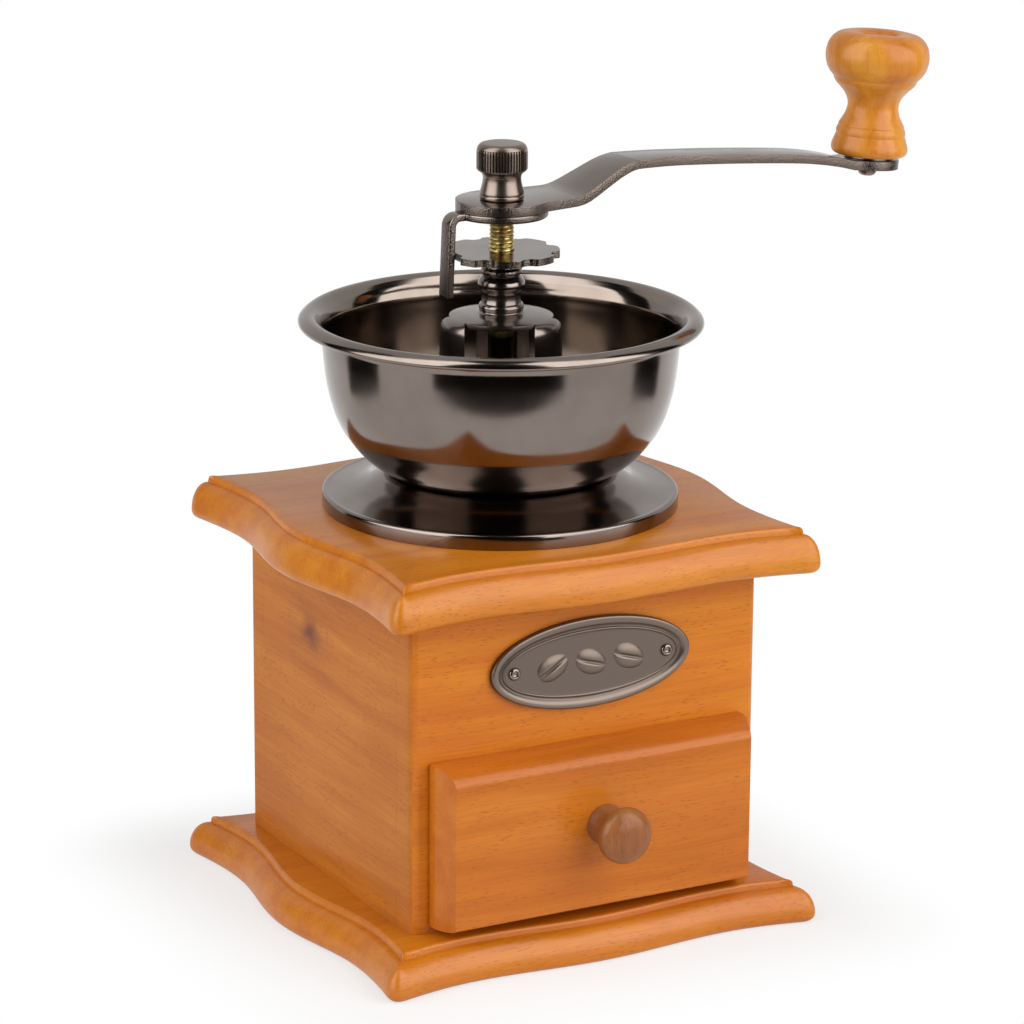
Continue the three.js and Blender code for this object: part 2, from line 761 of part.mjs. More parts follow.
function plaque() {
  const rimReach = plaqueThickness + plaqueRimHeight;
  const beadReach = plaqueThickness + plaqueBeadHeight;
  const beadWidth = plaqueWidth - 2 * plaqueBeadInset;
  const beadHeight = plaqueHeight - 2 * plaqueBeadInset;
  const face = oval(plaqueWidth, plaqueHeight, plaqueThickness);
  const rim = oval(plaqueWidth, plaqueHeight, rimReach,
    plaqueWidth - 2 * plaqueRimWidth, plaqueHeight - 2 * plaqueRimWidth);
  const bead = oval(beadWidth, beadHeight, beadReach,
    beadWidth - 2 * plaqueBeadWidth, beadHeight - 2 * plaqueBeadWidth);
  const beans = [-1, 0, 1].map((place) => bean(place * beanPitch, (place || 1) * beanTurn));
  const relief = join(face, rim, bead, ...beans);
  const behind = block(plaqueWidth, plaqueThickness * 4, plaqueHeight,
    0, -halfDepth + plaqueThickness * 2, plaqueCentre - plaqueHeight / 2);
  const holes = plaqueNailPlaces().map((x) => {
    const hole = rod(plaqueNailRadius + seatGap, -overrun, rimReach + overrun);
    hole.rotateX(Math.PI / 2);
    hole.translate(x, -halfDepth, plaqueCentre);
    return hole;
  });
  return cut(relief, behind, ...holes);
}

function plaqueNail(x) {
  const nail = lathe([[0, -plaqueNailLength], [plaqueNailRadius, -plaqueNailLength + plaqueNailRadius],
    [plaqueNailRadius, plaqueThickness], [plaqueNailHeadRadius, plaqueThickness],
    [plaqueNailHeadRadius * 0.8, plaqueThickness + plaqueNailHeadHeight * 0.7],
    [0, plaqueThickness + plaqueNailHeadHeight]], smallSegments);
  nail.rotateX(Math.PI / 2);
  nail.translate(x, -halfDepth, plaqueCentre);
  return nail;
}

// Pressed flange: a skirt on the lid, a hollow curve up to the neck and a collar into the throat.
function flange() {
  const skirtTop = lidTop + flangeSkirt;
  const neck = flangeNeckRadius;
  const sheet = flangeSheet;
  const sweep = new THREE.CubicBezierCurve(
    new THREE.Vector2(flangeRadius - flangeShoulder, skirtTop + flangeShoulder),
    new THREE.Vector2(THREE.MathUtils.lerp(neck, flangeRadius, 0.5), skirtTop + 2 * flangeShoulder),
    new THREE.Vector2(THREE.MathUtils.lerp(neck, flangeRadius, 0.2), flangeTop - 3 * flangeShoulder),
    new THREE.Vector2(neck, flangeTop - flangeShoulder / 2));
  const outside = [new THREE.Vector2(flangeRadius, lidTop), new THREE.Vector2(flangeRadius, skirtTop),
    ...sweep.getPoints(5), new THREE.Vector2(neck - flangeShoulder, flangeTop),
    new THREE.Vector2(flangeBoreRadius, flangeTop)];
  const inside = offsetLine(outside, -sheet).slice(1, -1).reverse();
  const profile = [...outside.map((point) => [point.x, point.y]), [flangeBoreRadius, lidTop],
    [flangeBoreRadius + sheet, lidTop], [flangeBoreRadius + sheet, flangeTop - sheet],
    ...inside.map((point) => [point.x, point.y]), [flangeRadius - sheet, lidTop], [flangeRadius, lidTop]];
  const holes = clampAngles().map((angle) => clampHole(angle, clampScrewRadius + turningGap,
    flangeTop - 2 * sheet, flangeTop + overrun));
  return cut(lathe(profile, bowlSegments), ...holes);
}

// Spun bowl: flat floor, rounded wall and a flared lip with a rolled edge.
function bowl() {
  const wall = bowlWallShares.map(([radius, level]) => new THREE.Vector2(
    radius * bowlWallRadius, flangeTop + level * bowlHeight));
  const foot = new THREE.Vector2(bowlFootRadius, flangeTop);
  const inner = offsetLine([foot, ...wall], -bowlSheet).slice(1).reverse();
  const lip = bowlLipShares.map(([run, level]) => [
    THREE.MathUtils.lerp(bowlWallRadius, bowlRimRadius, run), flangeTop + level * bowlHeight]);
  const profile = [[bowlThroatRadius, flangeTop], [foot.x, foot.y], ...wall.map((point) => [point.x, point.y]),
    ...lip, ...inner.map((point) => [point.x, point.y]), [bowlFootRadius, bowlFloorTop],
    [bowlThroatRadius, bowlFloorTop], [bowlThroatRadius, flangeTop]];
  const holes = clampAngles().map((angle) => clampHole(angle, clampScrewRadius + turningGap,
    flangeTop - overrun, bowlFloorTop + overrun));
  return cut(lathe(profile, bowlSegments), ...holes);
}

// Three-armed guide clamped under the bridge, which steadies the spindle above the burrs.
function guidePlate() {
  const outer = ring(bowlThroatRadius, bridgeFootRadius, bowlFloorTop, guideTop);
  const hub = rod(guideHubRadius, bowlFloorTop, guideTop, turnedSegments);
  const arms = clampAngles().map((angle) => {
    const length = bowlThroatRadius + overrun;
    const arm = block(length, guideArmWidth, guideThickness, length / 2, 0, bowlFloorTop);
    arm.rotateZ(angle);
    return arm;
  });
  const bore = rod(spindleRadius + turningGap, bowlFloorTop - overrun, guideTop + overrun, turnedSegments);
  const holes = clampAngles().map((angle) => clampHole(angle, clampScrewRadius + turningGap,
    bowlFloorTop - overrun, guideTop + overrun));
  return cut(join(outer, hub, ...arms), bore, ...holes);
}

// Cast bridge: a foot ring, three broad legs with feed windows between, a roof and a sleeve.
function bridge() {
  const wall = bridgeWallRadius;
  const inner = wall - bridgeWallThickness;
  const roof = bridgeTop - bridgeRoof;
  const bore = bushRadius + seatGap;
  const sleeve = sleeveShares.map(([radius, level]) => [radius * sleeveRadius, bridgeTop + level * sleeveHeight]);
  const profile = [[inner, guideTop], [bridgeFootRadius, guideTop], [bridgeFootRadius, bridgeFootTop],
    [wall + 2 * bridgeFlare, bridgeFootTop], [wall + bridgeFlare, bridgeFootTop + bridgeFlare],
    [wall, bridgeTop - 3 * bridgeShoulder], [wall - bridgeShoulder * 0.15, bridgeTop - bridgeShoulder],
    [wall - bridgeShoulder * 0.35, bridgeTop - bridgeShoulder * 0.6],
    [wall - bridgeShoulder * 0.8, bridgeTop - bridgeShoulder * 0.2],
    [wall - bridgeShoulder * 1.8, bridgeTop], ...sleeve, [bore, sleeveTop],
    [bore, roof], [inner - bridgeShoulder * 0.6, roof], [inner, roof - bridgeShoulder], [inner, guideTop]];
  const windows = clampAngles().map((angle) => bridgeWindow(angle + Math.PI / windowCount));
  const holes = clampAngles().map((angle) => clampHole(angle, clampScrewRadius + turningGap,
    guideTop - overrun, bridgeFootTop + overrun));
  return cut(lathe(profile, bowlSegments), ...windows, ...holes);
}

// A feed window: open through the wall from the foot to the roof, back to a round edge.
function bridgeWindow(angle) {
  const low = bridgeFootTop + restGap;
  const high = bridgeTop + overrun;
  const round = ring(windowDepthRadius, bridgeFootRadius, low, high, bowlSegments);
  const under = ring(2 * bushRadius, bridgeFootRadius, low, bridgeTop - bridgeRoof, bowlSegments);
  const across = block(bridgeFootRadius + overrun, windowWidth, high - low,
    (bridgeFootRadius + overrun) / 2, 0, low);
  across.rotateZ(angle);
  return common(join(round, under), across);
}

function bearingBush() {
  return ring(spindleRadius + turningGap, bushRadius, bridgeTop - bridgeRoof, sleeveTop);
}

// Slotted screw through the bridge, guide, bowl, flange and lid into the burr's flange.
function clampScrew(angle) {
  const tip = bodyTop - burrFlangeThickness - clampRunout;
  const head = bridgeFootTop;
  const body = lathe([[0, tip], [clampScrewRadius, tip], [clampScrewRadius, head], [clampHeadRadius, head],
    [clampHeadRadius, head + clampHeadHeight * 0.8], [clampHeadRadius * 0.8, head + clampHeadHeight],
    [0, head + clampHeadHeight]], smallSegments);
  const slot = block(2 * clampHeadRadius + overrun, clampSlotWidth, clampSlotDepth + overrun,
    0, 0, head + clampHeadHeight - clampSlotDepth);
  const screw = cut(body, slot);
  screw.rotateZ(angle);
  const [x, y] = clampPlace(angle);
  screw.translate(x, y, 0);
  return screw;
}

// Turns a profile whose points may carry teeth, [radius, height, tooth depth]. A profile that isn't
// looped gets a flat face at both ends.
function toothed(profile, teeth, looped = true) {
  const count = 2 * teeth;
  const rings = profile.map(([radius, level, depth]) => {
    const points = [];
    for (let i = 0; i < count; i += 1) {
      const angle = (i / count) * 2 * Math.PI;
      const reach = radius + (i % 2 === 0 ? 0 : depth);
      points.push(new THREE.Vector3(reach * Math.cos(angle), reach * Math.sin(angle), level));
    }
    return points;
  });
  return skin(rings, looped);
}

function burrFineTop() {
  return burrBottom + burrDrop * burrFineShare;
}

function outerBurr() {
  const body = throatRadius - burrBodyGap;
  const flangeLow = bodyTop - burrFlangeThickness;
  const profile = [[burrSkirtRadius, burrBottom, 0], [body, burrFineTop(), 0], [body, flangeLow, 0],
    [burrFlangeRadius, flangeLow, 0], [burrFlangeRadius, bodyTop, 0], [body, bodyTop, 0],
    [body, burrTop, 0], [burrMouthRadius, burrTop, burrTooth],
    [burrWaistRadius, burrTop - burrRise * 0.85, burrTooth],
    [burrWaistRadius, burrFineTop(), burrTooth], [burrMilledRadius, burrBottom, burrTooth]];
  const holes = clampAngles().map((angle) => clampHole(angle, clampScrewRadius + turningGap,
    flangeLow - overrun, bodyTop + overrun));
  return cut(toothed(profile, burrTeeth), ...holes);
}

function innerBurr() {
  const fine = burrFineTop();
  const half = driveWidth / 2 + turningGap;
  const profile = [[half, burrBottom, 0], [burrMilledRadius - grindGap, burrBottom, -burrTooth],
    [burrWaistRadius - grindGap, fine, -burrTooth], [burrWaistRadius * 0.72, fine + coneTopHeight * 0.3, -coneRib],
    [coneTopRadius, coneTop, 0], [half, coneTop, 0]];
  const drive = block(2 * half, 2 * half, coneTopHeight + 2 * overrun, 0, 0, burrBottom - overrun);
  return cut(toothed(profile, burrTeeth), drive);
}

// Spindle: threaded stub, square drive for the cone, round shaft, threaded top with key flats.
function spindle() {
  const stub = rod(stubRadius, burrBottom - stubLength, burrBottom + restGap);
  const drive = block(driveWidth, driveWidth, coneTopHeight + restGap, 0, 0, burrBottom);
  const threadStart = wheelTop - threadPitch;
  const turns = Math.floor((bracketTop - bracketSheet - threadStart) / threadPitch);
  const profile = [[0, coneTop + restGap], [spindleRadius, coneTop + restGap]];
  for (let i = 0; i < turns; i += 1) {
    const level = threadStart + i * threadPitch;
    profile.push([spindleRadius, level], [spindleRadius - threadDepth, level + threadPitch / 2]);
  }
  profile.push([spindleRadius, threadStart + turns * threadPitch], [spindleRadius, spindleTop - threadDepth],
    [spindleRadius - threadDepth, spindleTop], [0, spindleTop]);
  const shaft = join(lathe(profile, turnedSegments), stub, drive);
  const flatHeight = bracketSheet + armSheet + 2 * seatGap;
  const flats = [-1, 1].map((side) => {
    const tool = block(4 * spindleRadius, spindleRadius, flatHeight, 0,
      side * (keyHalfWidth + spindleRadius / 2), bracketTop - bracketSheet - seatGap);
    tool.rotateZ(crankTurn);
    return tool;
  });
  return cut(shaft, ...flats);
}

// The hole of the bracket and of the arm: round, with two flats that fit the spindle's key.
function keyedHole(bottom, top) {
  const round = rod(spindleRadius + turningGap, bottom - overrun, top + overrun, turnedSegments);
  const between = block(4 * spindleRadius, 2 * (keyHalfWidth + turningGap), top - bottom + 4 * overrun,
    0, 0, bottom - 2 * overrun);
  return common(round, between);
}

function burrNut() {
  const low = burrBottom - burrWasherThickness - burrNutHeight;
  const hex = rod(burrNutWidth / Math.sqrt(3), low, low + burrNutHeight, 6);
  return cut(hex, rod(stubRadius + seatGap, low - overrun, low + burrNutHeight + overrun));
}

// Compression spring between the guide and the seat on the cone: one wire along a helix.
function burrSpring() {
  const low = coneTop + restGap + seatThickness + springWire / 2 + restGap;
  const high = bowlFloorTop - springWire / 2 - restGap;
  const points = [];
  const steps = springTurns * springStepsPerTurn;
  for (let i = 0; i <= steps; i += 1) {
    const angle = (i / springStepsPerTurn) * 2 * Math.PI;
    const level = THREE.MathUtils.lerp(low, high, i / steps);
    points.push(new THREE.Vector3(springRadius * Math.cos(angle), springRadius * Math.sin(angle), level));
  }
  const path = new THREE.CatmullRomCurve3(points);
  const options = { steps, bevelEnabled: false, extrudePath: path };
  return clean(new THREE.ExtrudeGeometry(circle(springWire / 2, springWireSides), options));
}

function springSeat() {
  const low = coneTop + restGap;
  return ring(spindleRadius + turningGap, seatRadius, low, low + seatThickness);
}

// Pressed wheel with notches, on a hub that turns on the sleeve of the bridge.
function adjustingWheel() {
  const low = wheelBottom + wheelHubHeight;
  const disc = plate(circle(wheelRadius, bowlSegments), low, wheelTop);
  const hub = rod(wheelHubRadius, wheelBottom, low + wheelThickness / 2, turnedSegments);
  const bore = rod(spindleRadius + turningGap, wheelBottom - overrun, wheelTop + overrun, turnedSegments);
  const notches = [...Array(wheelNotches).keys()].map((i) => {
    const notch = block(2 * notchDepth, notchWidth, wheelThickness + 2 * overrun,
      wheelRadius, 0, low - overrun);
    notch.rotateZ(crankTurn - fingerLead + Math.PI + (i * 2 * Math.PI) / wheelNotches);
    return notch;
  });
  return cut(join(disc, hub), bore, ...notches);
}

// Lock bracket: a keyed disc with a finger bent down into the wheel.
function lockBracket() {
  const low = bracketTop - bracketSheet;
  const disc = plate(circle(bracketRadius, bowlSegments), low, bracketTop);
  const tip = bracketTop - fingerDrop;
  const outer = fingerOuterRadius;
  const bend = fingerBendRadius;
  const shape = new THREE.Shape();
  shape.moveTo(-bracketRadius / 2, low);
  shape.lineTo(-bracketRadius / 2, bracketTop);
  shape.lineTo(-outer + bend, bracketTop);
  shape.absarc(-outer + bend, bracketTop - bend, bend, Math.PI / 2, Math.PI, false);
  shape.lineTo(-outer, tip);
  shape.lineTo(-outer + bracketSheet, tip);
  shape.lineTo(-outer + bracketSheet, bracketTop - bend);
  shape.absarc(-outer + bend, bracketTop - bend, bend - bracketSheet, Math.PI, Math.PI / 2, true);
  const finger = slab(shape, -fingerWidth / 2, fingerWidth / 2);
  finger.rotateZ(-fingerLead);
  return cut(join(disc, finger), keyedHole(low, bracketTop));
}

// Heights of the arm's top face along its length, measured from the hub's top face.
function armTopLine() {
  const rise = armRiseShares.map(([run, level]) => new THREE.Vector2(
    THREE.MathUtils.lerp(armFlat, armCrest, run), level * armRise));
  const endStart = armLength - armEndFlat;
  const droop = armDroopShares.map(([run, level]) => new THREE.Vector2(
    THREE.MathUtils.lerp(armCrest, endStart, run), armRise - level * armDroop));
  const curve = new THREE.SplineCurve([...rise, ...droop]);
  const last = droop[droop.length - 1];
  const reach = armEndFlat + armEndRadius;
  const end = new THREE.Vector2(last.x + reach, last.y - reach * Math.tan(knobTilt));
  return [new THREE.Vector2(-armHubRadius, 0), ...curve.getPoints(26), end];
}

function armEndLevel() {
  return armTop + armRise - armDroop - armEndFlat * Math.tan(knobTilt);
}

// Crank arm: its side view crossed with its plan.
function crankArm() {
  const topLine = armTopLine();
  const lowLine = offsetLine(topLine, armSheet);
  const side = new THREE.Shape([...topLine, ...lowLine.reverse()].map(
    (point) => new THREE.Vector2(point.x, armTop + point.y)));
  const view = slab(side, -armHubRadius, armHubRadius);
  const half = armRootWidth / 2;
  const hubSide = Math.acos(half / armHubRadius);
  const endSide = Math.asin((armBladeWidth / 2) / armEndRadius);
  const plan = new THREE.Shape();
  plan.absarc(0, 0, armHubRadius, Math.PI / 2 - hubSide, 1.5 * Math.PI + hubSide, false);
  plan.lineTo(armFlat, -half * 0.94);
  plan.lineTo(armCrest * 0.85, -armBendWidth / 2);
  plan.lineTo(armCrest * 1.3, -armBladeWidth / 2);
  plan.absarc(armLength, 0, armEndRadius, Math.PI + endSide, 3 * Math.PI - endSide, false);
  plan.lineTo(armCrest * 1.3, armBladeWidth / 2);
  plan.lineTo(armCrest * 0.85, armBendWidth / 2);
  plan.lineTo(armFlat, half * 0.94);
  const reach = armRise + armDroop;
  const solid = common(view, plate(plan, armBottom - reach, armTop + reach, 2 * arcSteps));
  const rivetHole = rod(rivetRadius + seatGap, -2 * armSheet, armSheet);
  rivetHole.rotateY(knobTilt);
  rivetHole.translate(armLength, 0, armEndLevel());
  return cut(solid, keyedHole(armBottom, armTop), rivetHole);
}

// The pieces at the end of the arm are drawn about the rivet's own axis.
function knobWasher() {
  return ring(rivetRadius + turningGap, washerRadius, turningGap, turningGap + washerThickness);
}

function knobFloor() {
  return turningGap + washerThickness + restGap;
}

function plugTop() {
  return knobFloor() + knobHeight - plugSink;
}

function counterboreFloor() {
  return plugTop() - plugThickness - rivetButtonHeight - 2 * restGap;
}

function knobRivet() {
  const low = -armSheet - seatGap;
  const button = counterboreFloor() + restGap;
  return lathe([[0, low - rivetHeadHeight], [rivetHeadRadius * 0.75, low - rivetHeadHeight],
    [rivetHeadRadius, low - rivetHeadHeight * 0.6], [rivetHeadRadius, low], [rivetRadius, low],
    [rivetRadius, button], [rivetButtonRadius, button],
    [rivetButtonRadius * 0.8, button + rivetButtonHeight], [0, button + rivetButtonHeight]], smallSegments);
}

function crankKnob() {
  const low = knobFloor();
  const outside = knobShares.map(([radius, level]) => [radius * knobRadius, low + level * knobHeight]);
  const sink = plugRadius + seatGap;
  const floor = counterboreFloor();
  return lathe([[knobBoreRadius, low], ...outside, [sink, low + knobHeight], [sink, floor],
    [knobBoreRadius, floor], [knobBoreRadius, low]]);
}

function knobPlug() {
  return rod(plugRadius, plugTop() - plugThickness, plugTop(), turnedSegments);
}

function thumbNut() {
  const low = armTop + restGap;
  const bore = spindleRadius + turningGap;
  const outside = nutShares.map(([radius, level, knurl]) => [radius * nutRadius, low + level * nutHeight,
    -knurl * knurlDepth]);
  const body = toothed(outside, nutKnurls, false);
  return cut(body, rod(bore, low - overrun, low + nutHeight - nutTopWall, turnedSegments));
}

// Assembly: the case
addPart('base_board', baseBoard(), stainedBeech);
addPart('top_board', lidBoard(), stainedBeech);
addPart('front_panel', frontPanel(), stainedBeech);
addPart('back_panel', backPanel(), stainedBeech);
addPart('side_panel_left', sidePanel(-1), stainedSide);
addPart('side_panel_right', sidePanel(1), stainedSide);
baseScrewPlaces().forEach(([x, y], i) => {
  addPart(`base_screw_${i + 1}`, baseScrew(), zincSteel).position.set(x, y, 0);
});
dowelPlaces().forEach(([x, y], i) => {
  const dowel = rod(dowelRadius, bodyTop - dowelLength / 2, bodyTop + dowelLength / 2);
  addPart(`lid_dowel_${i + 1}`, dowel, plainBeech).position.set(x, y, 0);
});

// Assembly: the plaque
addPart('plaque', plaque(), pewter);
plaqueNailPlaces().forEach((x, i) => {
  addPart(['plaque_nail_left', 'plaque_nail_right'][i], plaqueNail(x), pewter);
});

// Assembly: the drawer
addPart('drawer_front', drawerFront(), stainedBeech);
addPart('drawer_side_left', drawerSide(-1), plainBeech);
addPart('drawer_side_right', drawerSide(1), plainBeech);
addPart('drawer_back', drawerBack(), plainBeech);
addPart('drawer_floor', drawerFloorPanel(), plainBeech);
addPart('drawer_knob', drawerKnob(), knobBeech);
addPart('drawer_knob_screw', drawerKnobScrew(), zincSteel);

// Assembly: the bowl, the bridge and the burrs
addPart('mounting_flange', flange(), gunmetal);
addPart('hopper_bowl', bowl(), gunmetal);
addPart('guide_plate', guidePlate(), blackCasting);
addPart('bridge', bridge(), blackCasting);
addPart('bearing_bush', bearingBush(), brass);
clampAngles().forEach((angle, i) => {
  addPart(`clamp_screw_${i + 1}`, clampScrew(angle), zincSteel);
});
addPart('outer_burr', outerBurr(), castIron);
addPart('burr_spring', burrSpring(), zincSteel);

// Assembly: the turning pieces
addPart('adjusting_wheel', adjustingWheel(), bronzedSteel);
addPart('spindle', spindle(), brass);
addPart('inner_burr', innerBurr(), castIron);
addPart('spring_seat', springSeat(), zincSteel);
addPart('burr_washer', ring(stubRadius + seatGap, burrWasherRadius, burrBottom - burrWasherThickness, burrBottom),
  zincSteel);
addPart('burr_nut', burrNut(), zincSteel);
const crankGroup = new THREE.Group();
crankGroup.rotation.z = crankTurn;
addPart('lock_bracket', lockBracket(), bronzedSteel, crankGroup);
addPart('crank_arm', crankArm(), bronzedSteel, crankGroup);
addPart('thumb_nut', thumbNut(), gunmetal, crankGroup);

// Assembly: the knob at the end of the arm
const knobGroup = new THREE.Group();
knobGroup.position.set(armLength, 0, armEndLevel());
knobGroup.rotation.y = knobTilt;
addPart('knob_washer', knobWasher(), zincSteel, knobGroup);
addPart('knob_rivet', knobRivet(), bronzedSteel, knobGroup);
addPart('crank_knob', crankKnob(), stainedBeech, knobGroup);
addPart('knob_plug', knobPlug(), stainedBeech, knobGroup);
crankGroup.add(knobGroup);
millParts.add(crankGroup);

export default millParts;
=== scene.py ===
"""Looks of a hand-cranked wooden coffee mill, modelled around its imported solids.

Size fields and profiles are in millimetres, in the CAD frame: +Z is up and the drawer faces -Y. A field with
edge in its name is the width of a rounding.
"""

import logging
import math
from collections.abc import Callable, Mapping, Sequence
from dataclasses import dataclass
from enum import Enum
from functools import partial

import bmesh
import bpy
from mathutils import Matrix, Vector
from mathutils.kdtree import KDTree


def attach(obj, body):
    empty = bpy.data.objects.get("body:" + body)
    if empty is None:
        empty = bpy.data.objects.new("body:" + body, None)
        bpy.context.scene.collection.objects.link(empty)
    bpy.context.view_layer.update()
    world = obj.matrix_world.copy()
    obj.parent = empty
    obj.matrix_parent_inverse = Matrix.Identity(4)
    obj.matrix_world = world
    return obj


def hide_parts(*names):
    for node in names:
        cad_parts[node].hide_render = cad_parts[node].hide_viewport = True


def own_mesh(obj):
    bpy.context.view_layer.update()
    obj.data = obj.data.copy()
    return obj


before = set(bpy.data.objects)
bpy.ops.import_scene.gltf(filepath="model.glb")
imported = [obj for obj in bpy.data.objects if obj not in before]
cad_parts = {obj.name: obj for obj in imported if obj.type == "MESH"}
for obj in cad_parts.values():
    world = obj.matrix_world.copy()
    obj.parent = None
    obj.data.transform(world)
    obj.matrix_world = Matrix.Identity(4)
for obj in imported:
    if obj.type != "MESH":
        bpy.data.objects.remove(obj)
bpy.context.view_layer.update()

log = logging.getLogger("hand_mill")

MM = 0.001
FULL_TURN = 2 * math.pi
# Corners closer than this to the axis lie on it
ON_AXIS = 1e-4
# Corners closer than this many metres are one
MERGE_DISTANCE = 1e-7
# Lays a piece that was turned upright on its side, with its top towards the drawer's side
FORWARD = Matrix.Rotation(math.pi / 2, 4, "X")

Spot = tuple[float, float]
Point = tuple[float, float, float]
# A turned piece's profile as radius and height: corners, and smooth runs that each start at the corner before
Section = tuple[Spot | tuple[Spot, ...], ...]
# A part of the dome round the set: two azimuths from the camera's and two elevations, in degrees
Window = tuple[float, float, float, float]
Adder = Callable[..., bpy.types.NodeSocket]


# Modelling bench: operators as used by hand, with the selection made in code


class Part(Enum):
    """What a selection in edit mode is made of."""

    CORNER = "VERT"
    EDGE = "EDGE"
    FACE = "FACE"


def clear_bench() -> None:
    """Leaves edit mode and deselects every object."""
    active = bpy.context.view_layer.objects.active
    if active is not None and active.mode != "OBJECT":
        bpy.ops.object.mode_set(mode="OBJECT")
    bpy.ops.object.select_all(action="DESELECT")


def take_up(piece: bpy.types.Object) -> None:
    """Makes a piece the only selected and active object.

    Args:
        piece: The object to work on.
    """
    clear_bench()
    piece.select_set(True)
    bpy.context.view_layer.objects.active = piece


def open_mesh(piece: bpy.types.Object) -> bmesh.types.BMesh:
    """Opens a piece in edit mode.

    Args:
        piece: The object to edit.

    Returns:
        Its mesh as edit mode holds it.
    """
    if piece.mode != "EDIT":
        take_up(piece)
        bpy.ops.object.mode_set(mode="EDIT")
    return bmesh.from_edit_mesh(piece.data)


def pick(piece: bpy.types.Object, part: Part, test: Callable[[Vector, Vector], bool]) -> None:
    """Selects the elements that pass a test.

    Args:
        piece: The object in edit mode.
        part: Whether corners, edges or faces are picked.
        test: Gets an element's lowest and highest corner in millimetres and says whether it is picked.
    """
    mesh = open_mesh(piece)
    bpy.ops.mesh.select_mode(type=part.value)
    bpy.ops.mesh.select_all(action="DESELECT")
    groups = {Part.CORNER: mesh.verts, Part.EDGE: mesh.edges, Part.FACE: mesh.faces}
    for element in groups[part]:
        corners = [element] if part is Part.CORNER else element.verts
        places = [corner.co / MM for corner in corners]
        low = Vector(min(place[axis] for place in places) for axis in range(3))
        high = Vector(max(place[axis] for place in places) for axis in range(3))
        element.select_set(test(low, high))
    mesh.select_flush_mode()
    bmesh.update_edit_mesh(piece.data)


def outline(name: str, points: Sequence[Point]) -> bpy.types.Object:
    """Adds a circle with a corner for every point and moves each corner to its point.

    Args:
        name: The new object's name.
        points: The closed outline, in millimetres.

    Returns:
        The new object, with edges only.
    """
    clear_bench()
    bpy.ops.mesh.primitive_circle_add(vertices=len(points), radius=MM)
    piece = bpy.context.object
    piece.name = name
    piece.data.name = name
    for corner, point in zip(piece.data.vertices, points):
        corner.co = Vector(point) * MM
    return piece


def spline(points: Sequence[Spot], steps: int) -> list[Spot]:
    """Draws a smooth line through points.

    Args:
        points: The points it passes, three or more.
        steps: How many pieces each stretch is cut into.

    Returns:
        The points of the finer line.
    """
    spots = [Vector(point) for point in points]
    spots = [2 * spots[0] - spots[1], *spots, 2 * spots[-1] - spots[-2]]
    line: list[Spot] = []
    for a, b, c, d in zip(spots, spots[1:], spots[2:], spots[3:]):
        for step in range(steps):
            t = step / steps
            spot = b + (c - a) * (t / 2) + (2 * a - 5 * b + 4 * c - d) * (t * t / 2)
            line.append(tuple(spot + (3 * b - a - 3 * c + d) * (t**3 / 2)))
    return [*line, tuple(spots[-2])]


def profile(section: Section, steps: int = 5) -> list[Spot]:
    """Draws a section's corners and smooth runs as one closed line.

    Args:
        section: The section, which starts with a corner.
        steps: How many pieces each stretch of a smooth run is cut into.

    Returns:
        The line's points, none twice.
    """
    line: list[Spot] = []
    for run in section:
        line += spline([line[-1], *run], steps)[1:] if isinstance(run[0], tuple) else [run]
    return line


def circle(radius: float, steps: int) -> list[Spot]:
    """Gives the points of a circle about the mill's axis."""
    angles = [FULL_TURN * step / steps for step in range(steps)]
    return [(radius * math.cos(angle), radius * math.sin(angle)) for angle in angles]


def quarter(steps: int) -> list[Spot]:
    """Gives the sine and the cosine at equal steps through a quarter turn."""
    angles = [step / steps * math.pi / 2 for step in range(steps + 1)]
    return [(math.sin(angle), math.cos(angle)) for angle in angles]


def moved(x: float, y: float, z: float) -> Matrix:
    """Gives a motion without a turn."""
    return Matrix.Translation(Vector((x, y, z)))


def settle(piece: bpy.types.Object) -> None:
    """Merges doubles and turns all faces outwards.

    Args:
        piece: The object to clean.
    """
    open_mesh(piece)
    bpy.ops.mesh.select_mode(type=Part.CORNER.value)
    bpy.ops.mesh.select_all(action="SELECT")
    bpy.ops.mesh.remove_doubles(threshold=MERGE_DISTANCE)
    bpy.ops.mesh.select_all(action="SELECT")
    bpy.ops.mesh.normals_make_consistent(inside=False)
    bpy.ops.object.mode_set(mode="OBJECT")


def turn(name: str, line: Sequence[Spot], steps: int = 96) -> bpy.types.Object:
    """Spins a closed profile about the mill's axis.

    Args:
        name: The new object's name.
        line: The profile as radius and height.
        steps: How many steps make the full turn.

    Returns:
        The turned piece.
    """
    piece = outline(name, [(radius, 0.0, level) for radius, level in line])
    pick(piece, Part.EDGE, lambda low, high: high.x < ON_AXIS)
    bpy.ops.mesh.delete(type="EDGE")
    open_mesh(piece)
    bpy.ops.mesh.select_all(action="SELECT")
    bpy.ops.mesh.spin(steps=steps, angle=FULL_TURN, center=(0, 0, 0), axis=(0, 0, 1), use_auto_merge=True)
    settle(piece)
    return piece


def loft(name: str, rings: Sequence[Sequence[Point]]) -> bpy.types.Object:
    """Extrudes a face from ring to ring, so that both ends are closed.

    Args:
        name: The new object's name.
        rings: Outlines with equal numbers of points.

    Returns:
        The lofted piece.
    """
    piece = outline(name, rings[0])
    open_mesh(piece)
    bpy.ops.mesh.select_all(action="SELECT")
    bpy.ops.mesh.edge_face_add()
    for before, after in zip(rings, rings[1:]):
        bpy.ops.mesh.extrude_region_move()
        tree = KDTree(len(before))
        for index, point in enumerate(before):
            tree.insert(point, index)
        tree.balance()
        mesh = bmesh.from_edit_mesh(piece.data)
        for corner in mesh.verts:
            if corner.select:
                corner.co = Vector(after[tree.find(corner.co / MM)[1]]) * MM
        bmesh.update_edit_mesh(piece.data)
    settle(piece)
    return piece


